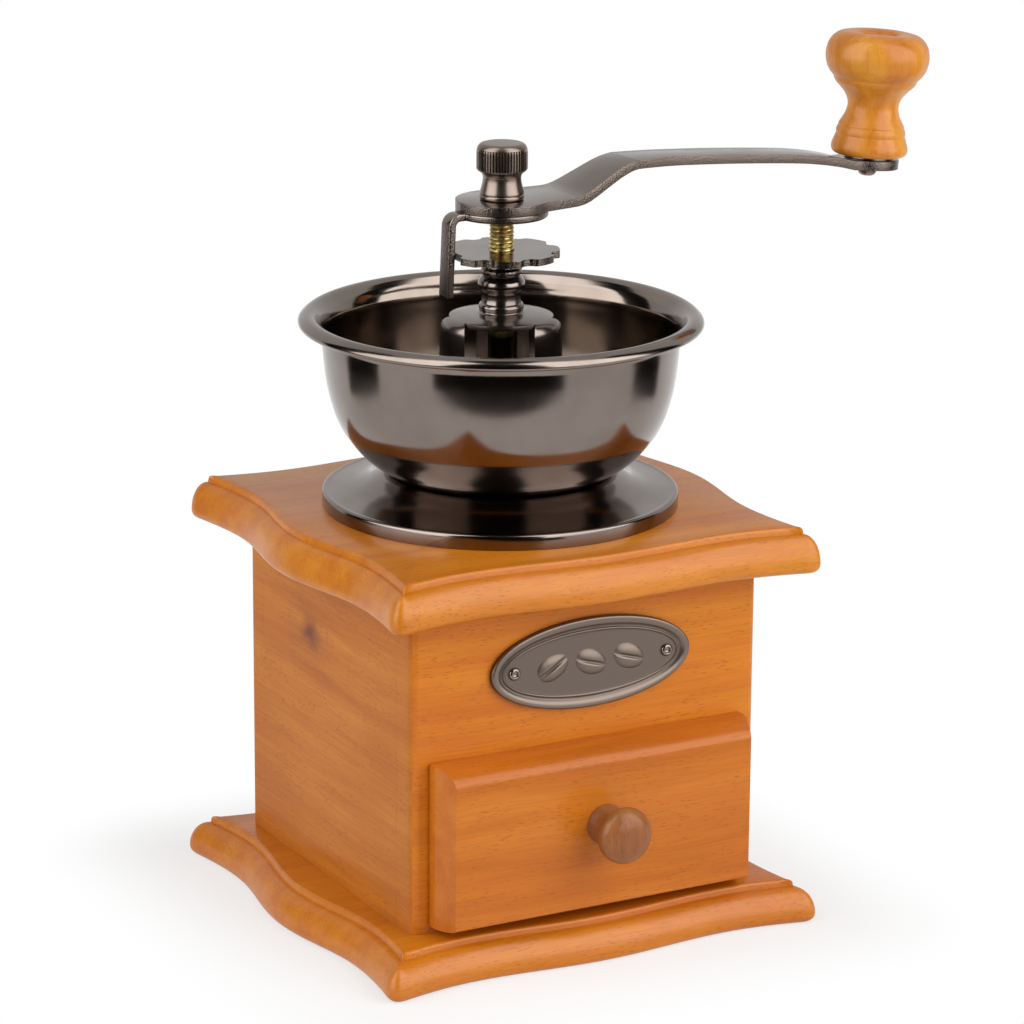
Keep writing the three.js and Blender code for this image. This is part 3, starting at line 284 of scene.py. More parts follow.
def raised(name: str, points: Sequence[Spot], low: float, high: float) -> bpy.types.Object:
    """Extrudes a plan from one level to another.

    Args:
        name: The new object's name.
        points: The plan's outline as x and y.
        low: The lower level.
        high: The upper level.

    Returns:
        The plate.
    """
    return loft(name, [[(x, y, level) for x, y in points] for level in (low, high)])


def add_modifier(piece: bpy.types.Object, kind: str, settings: Mapping[str, object]) -> None:
    """Adds a modifier with its settings and applies it.

    Args:
        piece: The object it works on.
        kind: The modifier's type.
        settings: Its properties by name.
    """
    take_up(piece)
    modifier = piece.modifiers.new(kind.title(), kind)
    for name, value in settings.items():
        setattr(modifier, name, value)
    bpy.ops.object.modifier_apply(modifier=modifier.name)


def carve(piece: bpy.types.Object, tool: bpy.types.Object, operation: str = "DIFFERENCE") -> None:
    """Cuts a tool out of a piece, or joins it on, and removes the tool.

    Args:
        piece: The object that stays.
        tool: The object that is used up.
        operation: DIFFERENCE, UNION or INTERSECT.
    """
    add_modifier(piece, "BOOLEAN", {"object": tool, "operation": operation, "solver": "EXACT"})
    bpy.data.objects.remove(tool)


def soften(
    piece: bpy.types.Object, width: float = 0.0, segments: int = 2, angle: float = 35, flat: bool = False
) -> None:
    """Rounds the sharp edges a little and shades the faces smooth.

    Args:
        piece: The object to finish.
        width: The rounding's width, or 0 for none.
        segments: How many faces make the rounding.
        angle: Edges that turn more than this many degrees count as sharp.
        flat: Whether large faces keep their own shading up to the rounding.
    """
    limit = math.radians(angle)
    if width > 0:
        settings = {"width": width * MM, "segments": segments, "limit_method": "ANGLE", "angle_limit": limit}
        add_modifier(piece, "BEVEL", settings)
    take_up(piece)
    bpy.ops.object.shade_smooth_by_angle(angle=limit)
    if flat:
        add_modifier(piece, "WEIGHTED_NORMAL", {"keep_sharp": True})


def place(piece: bpy.types.Object, matrix: Matrix) -> None:
    """Moves a mesh by a matrix whose shift is in millimetres.

    Args:
        piece: The object whose mesh moves.
        matrix: The motion.
    """
    motion = matrix.copy()
    motion.translation = matrix.translation * MM
    piece.data.transform(motion)
    piece.data.update()


def copied(piece: bpy.types.Object, name: str) -> bpy.types.Object:
    """Copies a piece with a mesh of its own.

    Args:
        piece: The object to copy.
        name: The copy's name.

    Returns:
        The copy.
    """
    twin = piece.copy()
    twin.data = piece.data.copy()
    twin.name = name
    twin.data.name = name
    bpy.context.scene.collection.objects.link(twin)
    return twin


# Finishes


class Grain(Enum):
    """The direction that the wood fibres run in."""

    X = 0
    Y = 1
    Z = 2

    def stretched(self, along: float, across: float) -> Point:
        """Gives a texture scale whose cells have this size in millimetres along and across the fibres.

        Args:
            along: The size along the fibres.
            across: The size across them.

        Returns:
            The scale on each axis.
        """
        scale = [1 / (across * MM)] * 3
        scale[self.value] = 1 / (along * MM)
        return tuple(scale)


def linear(code: str) -> tuple[float, float, float, float]:
    """Turns an sRGB hex colour into linear values.

    Args:
        code: Six hex digits.

    Returns:
        Red, green, blue and alpha.
    """
    parts = [int(code[i : i + 2], 16) / 255 for i in (0, 2, 4)]
    flat = [part / 12.92 if part <= 0.04045 else ((part + 0.055) / 1.055) ** 2.4 for part in parts]
    return (*flat, 1.0)


def add_node(
    tree: bpy.types.NodeTree,
    kind: str,
    inputs: Mapping[str | int, object] | None = None,
    output: str | int = 0,
) -> bpy.types.NodeSocket | None:
    """Adds a node, sets it up and links it.

    Args:
        tree: The node tree it goes into.
        kind: The node's type without its ShaderNode prefix.
        inputs: A value, a hex colour or another node's output for each input, by its name or number. The
            node's own properties and a colour ramp's stops stand in the same table.
        output: The output that is wanted.

    Returns:
        That output, or None from a node without outputs.
    """
    node = tree.nodes.new(f"ShaderNode{kind}")
    for key, value in (inputs or {}).items():
        if isinstance(value, bpy.types.NodeSocket):
            tree.links.new(value, node.inputs[key])
        elif key == "stops":
            elements = node.color_ramp.elements
            while len(elements) < len(value):
                elements.new(1.0)
            for element, (position, colour) in zip(elements, value):
                element.position = position
                element.color = linear(colour) if isinstance(colour, str) else (colour,) * 3 + (1.0,)
        elif isinstance(key, int) or key in node.inputs:
            node.inputs[key].default_value = linear(value) if isinstance(value, str) else value
        else:
            setattr(node, key, value)
    return node.outputs[output] if node.outputs else None


def new_material(name: str) -> tuple[bpy.types.Material, Adder]:
    """Makes an empty material.

    Args:
        name: Its name.

    Returns:
        The material, and add_node for its tree.
    """
    material = bpy.data.materials.new(name)
    material.use_nodes = True
    material.node_tree.nodes.clear()
    return material, partial(add_node, material.node_tree)


def noise(add: Adder, size: float, detail: float, spot: bpy.types.NodeSocket) -> bpy.types.NodeSocket:
    """Adds noise whose cells have this size in millimetres."""
    return add("TexNoise", {"Scale": 1 / (size * MM), "Detail": detail, 0: spot})


@dataclass(frozen=True)
class Beech:
    """Steamed beech, planed and sanded, under a spirit stain and a thin satin lacquer.

    The eye sees short dark pores that follow the fibres, soft growth bands, and cloudy stain. Each pattern's
    size is given along and across the fibres.
    """

    name: str
    pale: str = "d58118"
    middle: str = "cd7610"
    deep: str = "c46a09"
    rosy: str = "c2661a"
    pore: str = "8f4508"
    grain: Grain = Grain.X
    roughness: float = 0.5
    rough_spread: float = 0.06
    gloss: float = 0.1
    lacquer: float = 0.38
    lacquer_roughness: float = 0.2
    bands: Spot = (110.0, 7.0)
    streaks: Spot = (26.0, 0.55)
    clouds: Spot = (42.0, 24.0)
    # Pores are drawn a little wider than real, so that they show, and stand in clusters
    pores: Spot = (3.6, 0.62)
    clusters: Spot = (18.0, 5.0)
    pore_depth: float = 0.05
    pore_strength: float = 0.62
    # The fibres wander by 3 mm over 50 mm
    sway: Spot = (3.0, 50.0)
    shift: Point = (0.0, 0.0, 0.0)
    knot: Point | None = None
    knot_colour: str = "6c3420"
    knot_size: Point = (20.0, 6.3, 4.6)

    def material(self) -> bpy.types.Material:
        """Builds the material.

        Returns:
            The material.
        """
        material, add = new_material(self.name)
        coordinate = add("TexCoord", output="Object")
        start = add("Mapping", {"Location": tuple(part * MM for part in self.shift), 0: coordinate})
        wander, length = self.sway
        sway = noise(add, length, 1.0, start).node.outputs["Color"]
        sway = add("VectorMath", {"operation": "SUBTRACT", 0: sway, 1: (0.5, 0.5, 0.5)})
        sway = add("VectorMath", {"operation": "SCALE", 0: sway, "Scale": wander * MM})
        wood = add("VectorMath", {"operation": "ADD", 0: start, 1: sway})

        def fibrous(size: Spot, kind: str = "TexNoise", **settings: float) -> bpy.types.NodeSocket:
            """Adds a pattern whose cells have this size in millimetres along and across the fibres."""
            cells = add("Mapping", {"Scale": self.grain.stretched(*size), 0: wood})
            return add(kind, {"Scale": 1.0, **settings, 0: cells})

        bands = fibrous(self.bands, Detail=3)
        streaks = fibrous(self.streaks, Detail=2)
        clouds = fibrous(self.clouds, Detail=2)
        stops = [(0.3, self.deep), (0.5, self.middle), (0.72, self.pale)]
        colour = add("ValToRGB", {"stops": stops, 0: bands})
        cloudy = add("MapRange", {0: clouds, 1: 0.42, 2: 0.72, 4: 0.5})
        colour = add("MixRGB", {0: cloudy, 1: colour, 2: self.rosy})
        tone = add("MapRange", {0: streaks, 1: 0.3, 2: 0.7, 3: 0.91, 4: 1.06})
        colour = add("MixRGB", {"blend_type": "MULTIPLY", 0: 1.0, 1: colour, 2: tone})
        pores = add("MapRange", {0: fibrous(self.pores, "TexVoronoi"), 1: 0.1, 2: 0.32, 3: 1.0, 4: 0.0})
        clusters = fibrous(self.clusters, Detail=1)
        clusters = add("MapRange", {0: clusters, 1: 0.36, 2: 0.56, 4: self.pore_strength})
        pores = add("Math", {"operation": "MULTIPLY", 0: pores, 1: clusters})
        colour = add("MixRGB", {0: pores, 1: colour, 2: self.pore})
        if self.knot is not None:
            colour = self.add_knot(add, coordinate, colour)
        relief = add("Math", {"operation": "MULTIPLY_ADD", 0: pores, 1: -1.0, 2: streaks})
        bump = add("Bump", {"Distance": self.pore_depth * MM, "Strength": 0.5, "Height": relief})
        smooth, rough = (self.roughness + way * self.rough_spread for way in (-1, 1))
        rough = add("MapRange", {0: clouds, 1: 0.3, 2: 0.7, 3: smooth, 4: rough})
        surface = {"Coat Weight": self.lacquer, "Coat Roughness": self.lacquer_roughness,
                   "Specular IOR Level": self.gloss, "Base Color": colour, "Roughness": rough, "Normal": bump}
        add("OutputMaterial", {0: add("BsdfPrincipled", surface)})
        return material

    def add_knot(
        self, add: Adder, coordinate: bpy.types.NodeSocket, colour: bpy.types.NodeSocket
    ) -> bpy.types.NodeSocket:
        """Darkens the wood round a small knot, with a stained cloud about it.

        Args:
            add: Adds nodes to the material.
            coordinate: The piece's own coordinates.
            colour: The wood's colour so far.

        Returns:
            The colour with the knot in it.
        """
        away = add("VectorMath", {"operation": "SUBTRACT", 0: coordinate, 1: tuple(Vector(self.knot) * MM)})
        away = add("Mapping", {"Scale": tuple(1 / (size * MM) for size in self.knot_size), 0: away})
        reach = add("VectorMath", {"operation": "LENGTH", 0: away}, "Value")
        ragged = add("TexNoise", {"Scale": 1.3, "Detail": 3.0, 0: away})
        ragged = add("Math", {"operation": "MULTIPLY_ADD", 0: ragged, 1: 0.9, 2: reach})
        share = add("MapRange", {0: ragged, 1: 0.4, 2: 3.2})
        stops = [(0.0, 0.95), (0.14, 0.8), (0.3, 0.42), (0.45, 0.14), (1.0, 0.0)]
        return add("MixRGB", {0: add("ValToRGB", {"stops": stops, 0: share}), 1: colour, 2: self.knot_colour})


@dataclass(frozen=True)
class Metal:
    """A metal surface: pressed, turned or cast, and then plated or left bare.

    The eye sees a tinted mirror that fine scratches blur, and rough grey where the sheet was sheared.
    """

    name: str
    colour: str
    dull: str
    roughness: float
    spread: float = 0.04
    grit: float = 0.4
    grit_depth: float = 0.0
    sheared: bool = False
    sheared_colour: str = "6a5f58"
    grain: float = 0.42
    grain_depth: float = 0.1
    cloud: float = 14.0
    # Level below which use has made the surface dull, or 0 for none, and how far the change reaches
    scuffed_level: float = 0.0
    scuffed_fade: float = 4.0

    def material(self) -> bpy.types.Material:
        """Builds the material.

        Returns:
            The material.
        """
        material, add = new_material(self.name)
        spot = add("TexCoord", output="Object")
        fine = noise(add, self.grit, 3.0, spot)
        broad = noise(add, self.cloud, 3.0, spot)
        cloudy = add("MapRange", {0: broad, 1: 0.35, 2: 0.7})
        colour = add("MixRGB", {0: cloudy, 1: self.colour, 2: self.dull})
        smooth, rough = (self.roughness + way * self.spread for way in (-1, 1))
        rough = add("MapRange", {0: broad, 1: 0.3, 2: 0.7, 3: smooth, 4: rough})
        bump = add("Bump", {"Distance": self.grit_depth * MM, "Strength": 0.4, "Height": fine})
        if self.scuffed_level:
            height = add("SeparateXYZ", {0: spot}, "Z")
            high, low = ((self.scuffed_level + way * self.scuffed_fade) * MM for way in (1, -1))
            worn = add("MapRange", {0: height, 1: high, 2: low, 4: 0.3})
            rough = add("Math", {"operation": "ADD", 0: worn, 1: rough})
        if self.sheared:
            # A sheared edge is granular and glitters
            upright = add("SeparateXYZ", {0: spot.node.outputs["Normal"]}, "Z")
            upright = add("Math", {"operation": "ABSOLUTE", 0: upright})
            edge = add("MapRange", {0: upright, 1: 0.45, 2: 0.12})
            grains = add("TexVoronoi", {"Scale": 1 / (self.grain * MM), 0: spot})
            colour = add("MixRGB", {0: edge, 1: colour, 2: self.sheared_colour})
            rough = add("Math", {"operation": "MULTIPLY_ADD", 0: edge, 1: 0.1, 2: rough})
            height = add("Math", {"operation": "MULTIPLY", 0: grains, 1: edge})
            bump = add("Bump", {"Distance": self.grain_depth * MM, "Strength": 0.8, "Height": height,
                                "Normal": bump})
        surface = {"Metallic": 1.0, "Base Color": colour, "Roughness": rough, "Normal": bump}
        add("OutputMaterial", {0: add("BsdfPrincipled", surface)})
        return material


@dataclass(frozen=True)
class ThreadBrass:
    """Turned brass: bright crests over dark olive roots, with painted shade low down where the bridge shades
    the spindle.
    """

    name: str = "thread_brass"
    crest: str = "f2de9c"
    root: str = "a0873f"
    crest_radius: float = 3.5
    root_radius: float = 3.14
    # Painted shade: below this level the brass turns to this dark colour, where the bridge shades the spindle
    shaded: str = "2b2412"
    shade_level: float = 168.0
    shade_fade: float = 4.0
    speck: float = 0.8
    speck_depth: float = 0.02

    def material(self) -> bpy.types.Material:
        """Builds the material.

        Returns:
            The material.
        """
        material, add = new_material(self.name)
        spot = add("TexCoord", output="Object")
        flat = add("Mapping", {"Scale": (1.0, 1.0, 0.0), 0: spot})
        reach = add("VectorMath", {"operation": "LENGTH", 0: flat}, "Value")
        share = add("MapRange", {0: reach, 1: self.root_radius * MM, 2: self.crest_radius * MM})
        colour = add("MixRGB", {0: share, 1: self.root, 2: self.crest})
        height = add("SeparateXYZ", {0: spot}, "Z")
        clean, shaded = self.shade_level * MM, (self.shade_level - self.shade_fade) * MM
        # Painted shade: the brass darkens below a level, inside the bridge
        shade_share = add("MapRange", {0: height, 1: clean, 2: shaded})
        colour = add("MixRGB", {0: shade_share, 1: colour, 2: self.shaded})
        specks = noise(add, self.speck, 2.0, spot)
        rough = add("MapRange", {0: specks, 1: 0.3, 2: 0.7, 3: 0.28, 4: 0.48})
        bump = add("Bump", {"Distance": self.speck_depth * MM, "Strength": 0.4, "Height": specks})
        surface = {"Metallic": 1.0, "Base Color": colour, "Roughness": rough, "Normal": bump}
        add("OutputMaterial", {0: add("BsdfPrincipled", surface)})
        return material


@dataclass(frozen=True)
class AgedPewter:
    """Die-cast zinc with an antique pewter finish: dull, darker low down, rubbed bright on what stands up."""

    name: str = "aged_pewter"
    low_colour: str = "463c36"
    field_colour: str = "6a5e56"
    high_colour: str = "786b61"
    # The wall's place, and how far the plaque's field and its highest lines stand out from it
    wall: float = -51.2
    field_reach: float = 0.95
    high_reach: float = 1.9
    stain: float = 2.2
    grit: float = 0.35
    grit_depth: float = 0.02

    def material(self) -> bpy.types.Material:
        """Builds the material.

        Returns:
            The material.
        """
        material, add = new_material(self.name)
        spot = add("TexCoord", output="Object")
        place_y = add("SeparateXYZ", {0: spot}, "Y")
        low, high = ((self.wall - reach) * MM for reach in (self.field_reach, self.high_reach))
        height = add("MapRange", {0: place_y, 1: low, 2: high})
        stain = noise(add, self.stain, 4.0, spot)
        share = add("Math", {"operation": "MULTIPLY_ADD", 0: stain, 1: 0.22, 2: height})
        stops = [(0.05, self.low_colour), (0.22, self.field_colour), (0.45, self.field_colour),
                 (1.0, self.high_colour)]
        colour = add("ValToRGB", {"stops": stops, 0: share})
        fine = noise(add, self.grit, 2.0, spot)
        rough = add("MapRange", {0: height, 3: 0.46, 4: 0.28})
        bump = add("Bump", {"Distance": self.grit_depth * MM, "Strength": 0.4, "Height": fine})
        surface = {"Metallic": 0.85, "Base Color": colour, "Roughness": rough, "Normal": bump}
        add("OutputMaterial", {0: add("BsdfPrincipled", surface)})
        return material


class Slot(Enum):
    """The record's material slots."""

    STAINED_BEECH = "stained_beech"
    STAINED_SIDE = "stained_side"
    KNOB_BEECH = "knob_beech"
    GUNMETAL = "gunmetal"
    BRONZED_STEEL = "bronzed_steel"
    ZINC_STEEL = "zinc_steel"
    PEWTER = "pewter"
    BLACK_CASTING = "black_casting"
    BRASS = "brass"


class Finishes:
    """Every material of the mill, made once."""

    def __init__(self) -> None:
        """Builds the materials."""
        plain = {"pale": "dcb98c", "middle": "cda473", "deep": "b88c5c", "rosy": "c49a70", "pore": "a27848",
                 "roughness": 0.6, "lacquer": 0.0}
        self.board = Beech("board_beech", "cf8015", "c8750f", "bf6a08", "bd6519", lacquer=0.58,
                           lacquer_roughness=0.26).material()
        self.front = Beech("front_beech", shift=(13.0, 40.0, 7.0)).material()
        self.drawer = Beech("drawer_beech", "cb7620", "c36c15", "b9620d", "b9601c",
                            shift=(71.0, 9.0, 33.0)).material()
        # Darker and pinker than the front's beech: painted shade and painted sheen on the sides, with the
        # grain running front to back
        self.side = Beech("side_beech", "c97c28", "be7020", "b26318", "b36526", "8c4820", Grain.Y, gloss=0.06,
                          lacquer=0.22, shift=(5.0, 21.0, 60.0), knot=(-54.4, 11.2, 81.4)).material()
        self.inside = Beech("inside_beech", **plain).material()
        self.inside_long = Beech("inside_beech_long", grain=Grain.Y, **plain).material()
        self.drawer_knob = Beech("drawer_knob_beech", "a8703a", "94582a", "7a431e", "8a5634", "4f2a14",
                                 Grain.Z, shift=(8.0, 3.0, 1.0)).material()
        self.crank_knob = Beech("crank_knob_beech", "d89335", "ca7f26", "ba6b18", grain=Grain.Z, lacquer=0.5,
                                pore_strength=0.25, shift=(31.0, 17.0, 9.0)).material()
        self.gunmetal = Metal("black_nickel_plate", "857a73", "7b7069", 0.15, 0.03, 0.3, 0.004).material()
        self.nut_plate = Metal("brushed_nut_plate", "887a71", "7b6e65", 0.28, 0.04, 0.4, 0.008).material()
        self.bowl_inside = Metal("brushed_bowl", "81766d", "746961", 0.13, 0.03, 0.5, 0.006,
                                 scuffed_level=147.0).material()
        self.casting = Metal("plated_casting", "857b75", "716761", 0.22, 0.05, 0.9, 0.03).material()
        self.bronzed = Metal("bronzed_sheet", "857a73", "796e67", 0.17, 0.04, 0.35, 0.008, True).material()
        self.zinc = Metal("zinc_plated_steel", "8c8985", "767370", 0.34, 0.06, 0.4, 0.01).material()
        self.iron = Metal("cast_burr_iron", "5a5855", "454341", 0.55, 0.08, 0.6, 0.06).material()
        self.brass = ThreadBrass().material()
        self.pewter = AgedPewter().material()


def dress(
    piece: bpy.types.Object, body: str, slot: Slot, material: bpy.types.Material, *nodes: str
) -> bpy.types.Object:
    """Gives a piece its material and its body, and lets it stand for CAD nodes.

    Args:
        piece: The finished object.
        body: The CAD body that it rides on.
        slot: The record's slot that its finish belongs to; not used.
        material: The material.
        nodes: The CAD nodes that it replaces.

    Returns:
        The same object.
    """
    clear_bench()
    piece.data.materials.clear()
    piece.data.materials.append(material)
    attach(piece, body)
    if nodes:
        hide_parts(*nodes)
    log.info("%s: %d faces, rides on %s", piece.name, len(piece.data.polygons), body)
    return piece


def line_faces(
    piece: bpy.types.Object, material: bpy.types.Material, test: Callable[[Vector, Vector], bool]
) -> None:
    """Gives some faces of a dressed piece another material.

    Args:
        piece: The object.
        material: The other material.
        test: Says from a face's centre in millimetres and its normal whether it takes that material.
    """
    piece.data.materials.append(material)
    for face in piece.data.polygons:
        if test(face.center / MM, face.normal):
            face.material_index = 1


def paint(material: bpy.types.Material, *nodes: str) -> None:
    """Gives CAD nodes that stay in view a material.

    Args:
        material: The material.
        nodes: The nodes' names.
    """
    for name in nodes:
        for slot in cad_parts[name].material_slots:
            slot.material = material
        log.info("%s: CAD solid with the finish %s", name, material.name)


# Pieces of the mill


@dataclass
class MouldedBoard:
    """A board with a wavy outline: the base and the lid."""

    half: float = 67.8
    thickness: float = 12.8
    corner_reach: float = 6.5
    ridge_reach: float = 2.2
    side_bulge: float = 1.4
    side_dip: float = 3.5
    front_hollow: float = 2.0
    front_dip: float = 4.8
    dip_share: float = 0.57
    moulding: float = 4.6
    foot_radius: float = 2.4
    quirk_height: float = 1.1
    quirk_depth: float = 0.15
    arris: float = 0.9
    wave_steps: int = 44
    corner_steps: int = 10
    # Steps of the foot's rounding, the moulding and the arris
    round_steps: tuple[int, int, int] = (6, 12, 4)
    sharp: float = 32.0

    def wave(self, share: float, bulge: float, dip: float) -> float:
        """Says how far an edge stands out.

        Args:
            share: The way from the edge's middle to its corner, 0 to 1.
            bulge: How far the middle stands out.
            dip: How far the hollow beside it lies back.

        Returns:
            The reach beyond the straight line.
        """
        if share < self.dip_share:
            swing = (1 + math.cos(math.pi * share / self.dip_share)) / 2
            return swing * (bulge + dip) - dip
        rest = (share - self.dip_share) / (1 - self.dip_share)
        return -dip * math.cos(math.pi / 2 * rest)

    def ring(self, inset: float, level: float) -> list[Point]:
        """Draws the outline at one level.

        Args:
            inset: How far it lies in from the widest line.
            level: Its height.

        Returns:
            The outline's points.
        """
        half = self.half - inset
        reach = self.corner_reach + (self.ridge_reach - self.corner_reach) * min(1.0, inset / self.moulding)
        run = half - reach
        waves = [(self.side_bulge, self.side_dip), (-self.front_hollow, self.front_dip)] * 2
        spots: list[Vector] = []
        for turn_number, (bulge, dip) in enumerate(waves):
            turned = Matrix.Rotation(turn_number * math.pi / 2, 2)
            for step in range(self.wave_steps + 1):
                along = -run + 2 * run * step / self.wave_steps
                out = half + self.wave(abs(along) / self.half, bulge, dip)
                spots.append(turned @ Vector((out, along)))
            next_bulge, next_dip = waves[(turn_number + 1) % 4]
            next_out = half + self.wave(run / self.half, next_bulge, next_dip)
            end = Matrix.Rotation((turn_number + 1) * math.pi / 2, 2) @ Vector((next_out, -run))
            start, corner = spots[-1], turned @ Vector((half, half))
            for step in range(1, self.corner_steps):
                t = step / self.corner_steps
                spots.append(start * (1 - t) ** 2 + corner * (2 * t * (1 - t)) + end * t**2)
        return [(spot.x, spot.y, level) for spot in spots]

    def build(self, name: str, bottom: float) -> bpy.types.Object:
        """Models the board.

        Args:
            name: The board's name.
            bottom: The level of its underside.

        Returns:
            The finished mesh.
        """
        foot, arris = self.foot_radius, self.arris
        rise = self.thickness - arris - self.quirk_height - foot
        inset = self.moulding + self.quirk_depth
        below, middle, above = (quarter(steps) for steps in self.round_steps)
        stages = [(foot * (1 - sine), foot * (1 - cosine)) for sine, cosine in below]
        stages += [(self.moulding * (1 - cosine), foot + rise * sine) for sine, cosine in middle[1:]]
        top = self.thickness - arris
        stages += [(inset + arris * (1 - cosine), top + arris * sine) for sine, cosine in above]
        board = loft(name, [self.ring(inset, bottom + level) for inset, level in stages])
        soften(board, angle=self.sharp)
        return board


@dataclass
class Case:
    """The box: two moulded boards and four walls."""

    finishes: Finishes
    bottom: float = 11.8
    top: float = 103.2
    half_width: float = 54.4
    half_depth: float = 51.2
    wall: float = 9.0
    corner: float = 2.4
    corner_steps: int = 8
    side_edge: float = 0.06
    edge: float = 0.1
    # The front and back walls show the side walls' grain, with its painted shade and sheen, where they face
    # more to the side than this
    side_share: float = 0.75
    opening_half: float = 44.2
    opening_top: float = 57.3
    # The base stands out a little further than the lid, most of all at the left
    base_half: float = 68.9
    base_moulding: float = 5.6
    base_shift: Point = (-0.6, -0.3, 0.0)

    def wall_plan(self) -> list[Spot]:
        """Draws the plan of the front wall with its two rounded outer corners.

        Returns:
            The plan's outline.
        """
        front = -self.half_depth
        inside = front + self.wall
        rounded = [(-self.half_width + self.corner * (1 - cosine), front + self.corner * (1 - sine))
                   for sine, cosine in quarter(self.corner_steps)]
        ends = [(self.half_width, inside), (-self.half_width, inside)]
        return [*ends, *rounded, *((-x, y) for x, y in reversed(rounded))]

    def build(self) -> None:
        """Models, dresses and places the case."""
        base = MouldedBoard(half=self.base_half, thickness=self.bottom, moulding=self.base_moulding)
        base = base.build("wood_base_board", 0.0)
        place(base, moved(*self.base_shift))
        lid = MouldedBoard().build("wood_lid_board", self.top)
        for piece, node in ((base, "base_board"), (lid, "top_board")):
            dress(piece, "case", Slot.STAINED_BEECH, self.finishes.board, node)
        front = raised("wood_front_wall", self.wall_plan(), self.bottom, self.top)
        back = copied(front, "wood_back_wall")
        place(back, Matrix.Rotation(math.pi, 4, "Z"))
        half, far = self.opening_half, -2 * self.half_depth
        plan = [(-half, far), (half, far), (half, 0), (-half, 0)]
        carve(front, raised("opening", plan, 0.0, self.opening_top))
        for piece, node in ((front, "front_panel"), (back, "back_panel")):
            soften(piece, self.edge, flat=True)
            dress(piece, "case", Slot.STAINED_BEECH, self.finishes.front, node)
            # Faces that look sideways take the side walls' beech, with its painted shade and sheen
            line_faces(piece, self.finishes.side, lambda centre, normal: abs(normal.x) > self.side_share)
        inner = self.half_depth - self.wall
        for side, name in ((-1, "left"), (1, "right")):
            xs = sorted((side * (self.half_width - self.wall), side * self.half_width))
            plan = [(xs[0], -inner), (xs[1], -inner), (xs[1], inner), (xs[0], inner)]
            wall = raised(f"wood_{name}_wall", plan, self.bottom, self.top)
            soften(wall, self.side_edge, flat=True)
            dress(wall, "case", Slot.STAINED_SIDE, self.finishes.side, f"side_panel_{name}")
        paint(self.finishes.inside, *(f"lid_dowel_{number}" for number in range(1, 5)))
        paint(self.finishes.zinc, *(f"base_screw_{number}" for number in range(1, 5)))


@dataclass
class Plaque:
    """The oval plaque with its raised rim, a bead, three plain coffee beans and two nails."""

    finishes: Finishes
    half_width: float = 31.2
    half_height: float = 12.9
    middle: float = 0.6
    centre: float = 83.1
    wall: float = -51.2
    nail_place: float = 24.0
    bean_pitch: float = 12.0
    bean_size: Point = (5.5, 1.25, 3.8)
    bean_sink: float = 0.45
    bean_turn: float = 0.42
    bean_taper: float = 0.08
    bean_steps: int = 72
    crease_swing: Spot = (0.45, 1.9)
    crease_width: float = 0.5
    crease_depth: float = 0.7
    field: float = 1.1
    steps: int = 128
    # Inset from the edge and reach from the wall, from the back edge to the field
    section: tuple[Spot, ...] = (
        (0.15, 0.0), (0.0, 0.25), (0.0, 1.25), (0.08, 1.52), (0.3, 1.76), (0.6, 1.86), (1.0, 1.87), (1.5, 1.8),
        (2.0, 1.66), (2.35, 1.46), (2.6, 1.2), (2.85, 1.06), (3.15, 1.02), (3.3, 1.08), (3.42, 1.3),
        (3.56, 1.46), (3.75, 1.52), (3.95, 1.46), (4.1, 1.3), (4.24, 1.14), (4.5, 1.1), (5.2, 1.1),
    )
    nail_section: Section = (
        (0.0, -6.5), (0.7, -5.9), (0.7, 1.0), (1.75, 1.05), ((1.8, 1.4), (1.55, 1.8), (1.15, 2.0),
         (0.85, 1.9), (0.7, 1.5)), (0.0, 1.2),
    )

    def ring(self, inset: float, reach: float) -> list[Point]:
        """Draws one oval of the plaque's relief.

        Args:
            inset: How far it lies in from the edge.
            reach: How far it stands out from the wall.

        Returns:
            Its points.
        """
        wide, high = self.half_width - inset, self.half_height - inset
        oval = [(wide * x, high * z) for x, z in circle(1.0, self.steps)]
        return [(self.middle + x, self.wall - reach, self.centre + z) for x, z in oval]

    def bean(self) -> bpy.types.Object:
        """Models a coffee bean in low relief, with a crease along it.

        Returns:
            The bean.
        """
        clear_bench()
        bpy.ops.mesh.primitive_uv_sphere_add(segments=self.bean_steps, ring_count=self.bean_steps, radius=MM)
        bean = bpy.context.object
        long, deep, high = self.bean_size
        swing, pace = self.crease_swing
        for corner in bean.data.vertices:
            x, y, z = corner.co / MM
            z *= high * (1 - self.bean_taper * x)
            away = (z - swing * math.sin(pace * x)) / self.crease_width
            crease = self.crease_depth * math.exp(-(away**2)) * max(0.0, 1 - x * x) ** 0.5
            corner.co = Vector((x * long, y * deep + (crease if y < 0 else 0.0) * -y, z)) * MM
        return bean

    def build(self) -> None:
        """Models, dresses and places the plaque and its nails."""
        plaque = loft("metal_plaque", [self.ring(*spot) for spot in self.section])
        first = self.bean()
        for number in (-1, 0, 1):
            bean = copied(first, f"bean_{number + 2}")
            turned = Matrix.Rotation((number or 1) * self.bean_turn, 4, "Y")
            x, y = self.middle + number * self.bean_pitch, self.wall - self.field + self.bean_sink
            place(bean, moved(x, y, self.centre) @ turned)
            carve(plaque, bean, "UNION")
        bpy.data.objects.remove(first)
        soften(plaque, angle=40, flat=True)
        dress(plaque, "case", Slot.PEWTER, self.finishes.pewter, "plaque")
        for side, name in ((-1, "left"), (1, "right")):
            nail = turn(f"plaque_nail_head_{name}", profile(self.nail_section), 32)
            place(nail, moved(self.middle + side * self.nail_place, self.wall, self.centre) @ FORWARD)
            soften(nail)
            dress(nail, "case", Slot.PEWTER, self.finishes.gunmetal, f"plaque_nail_{name}")


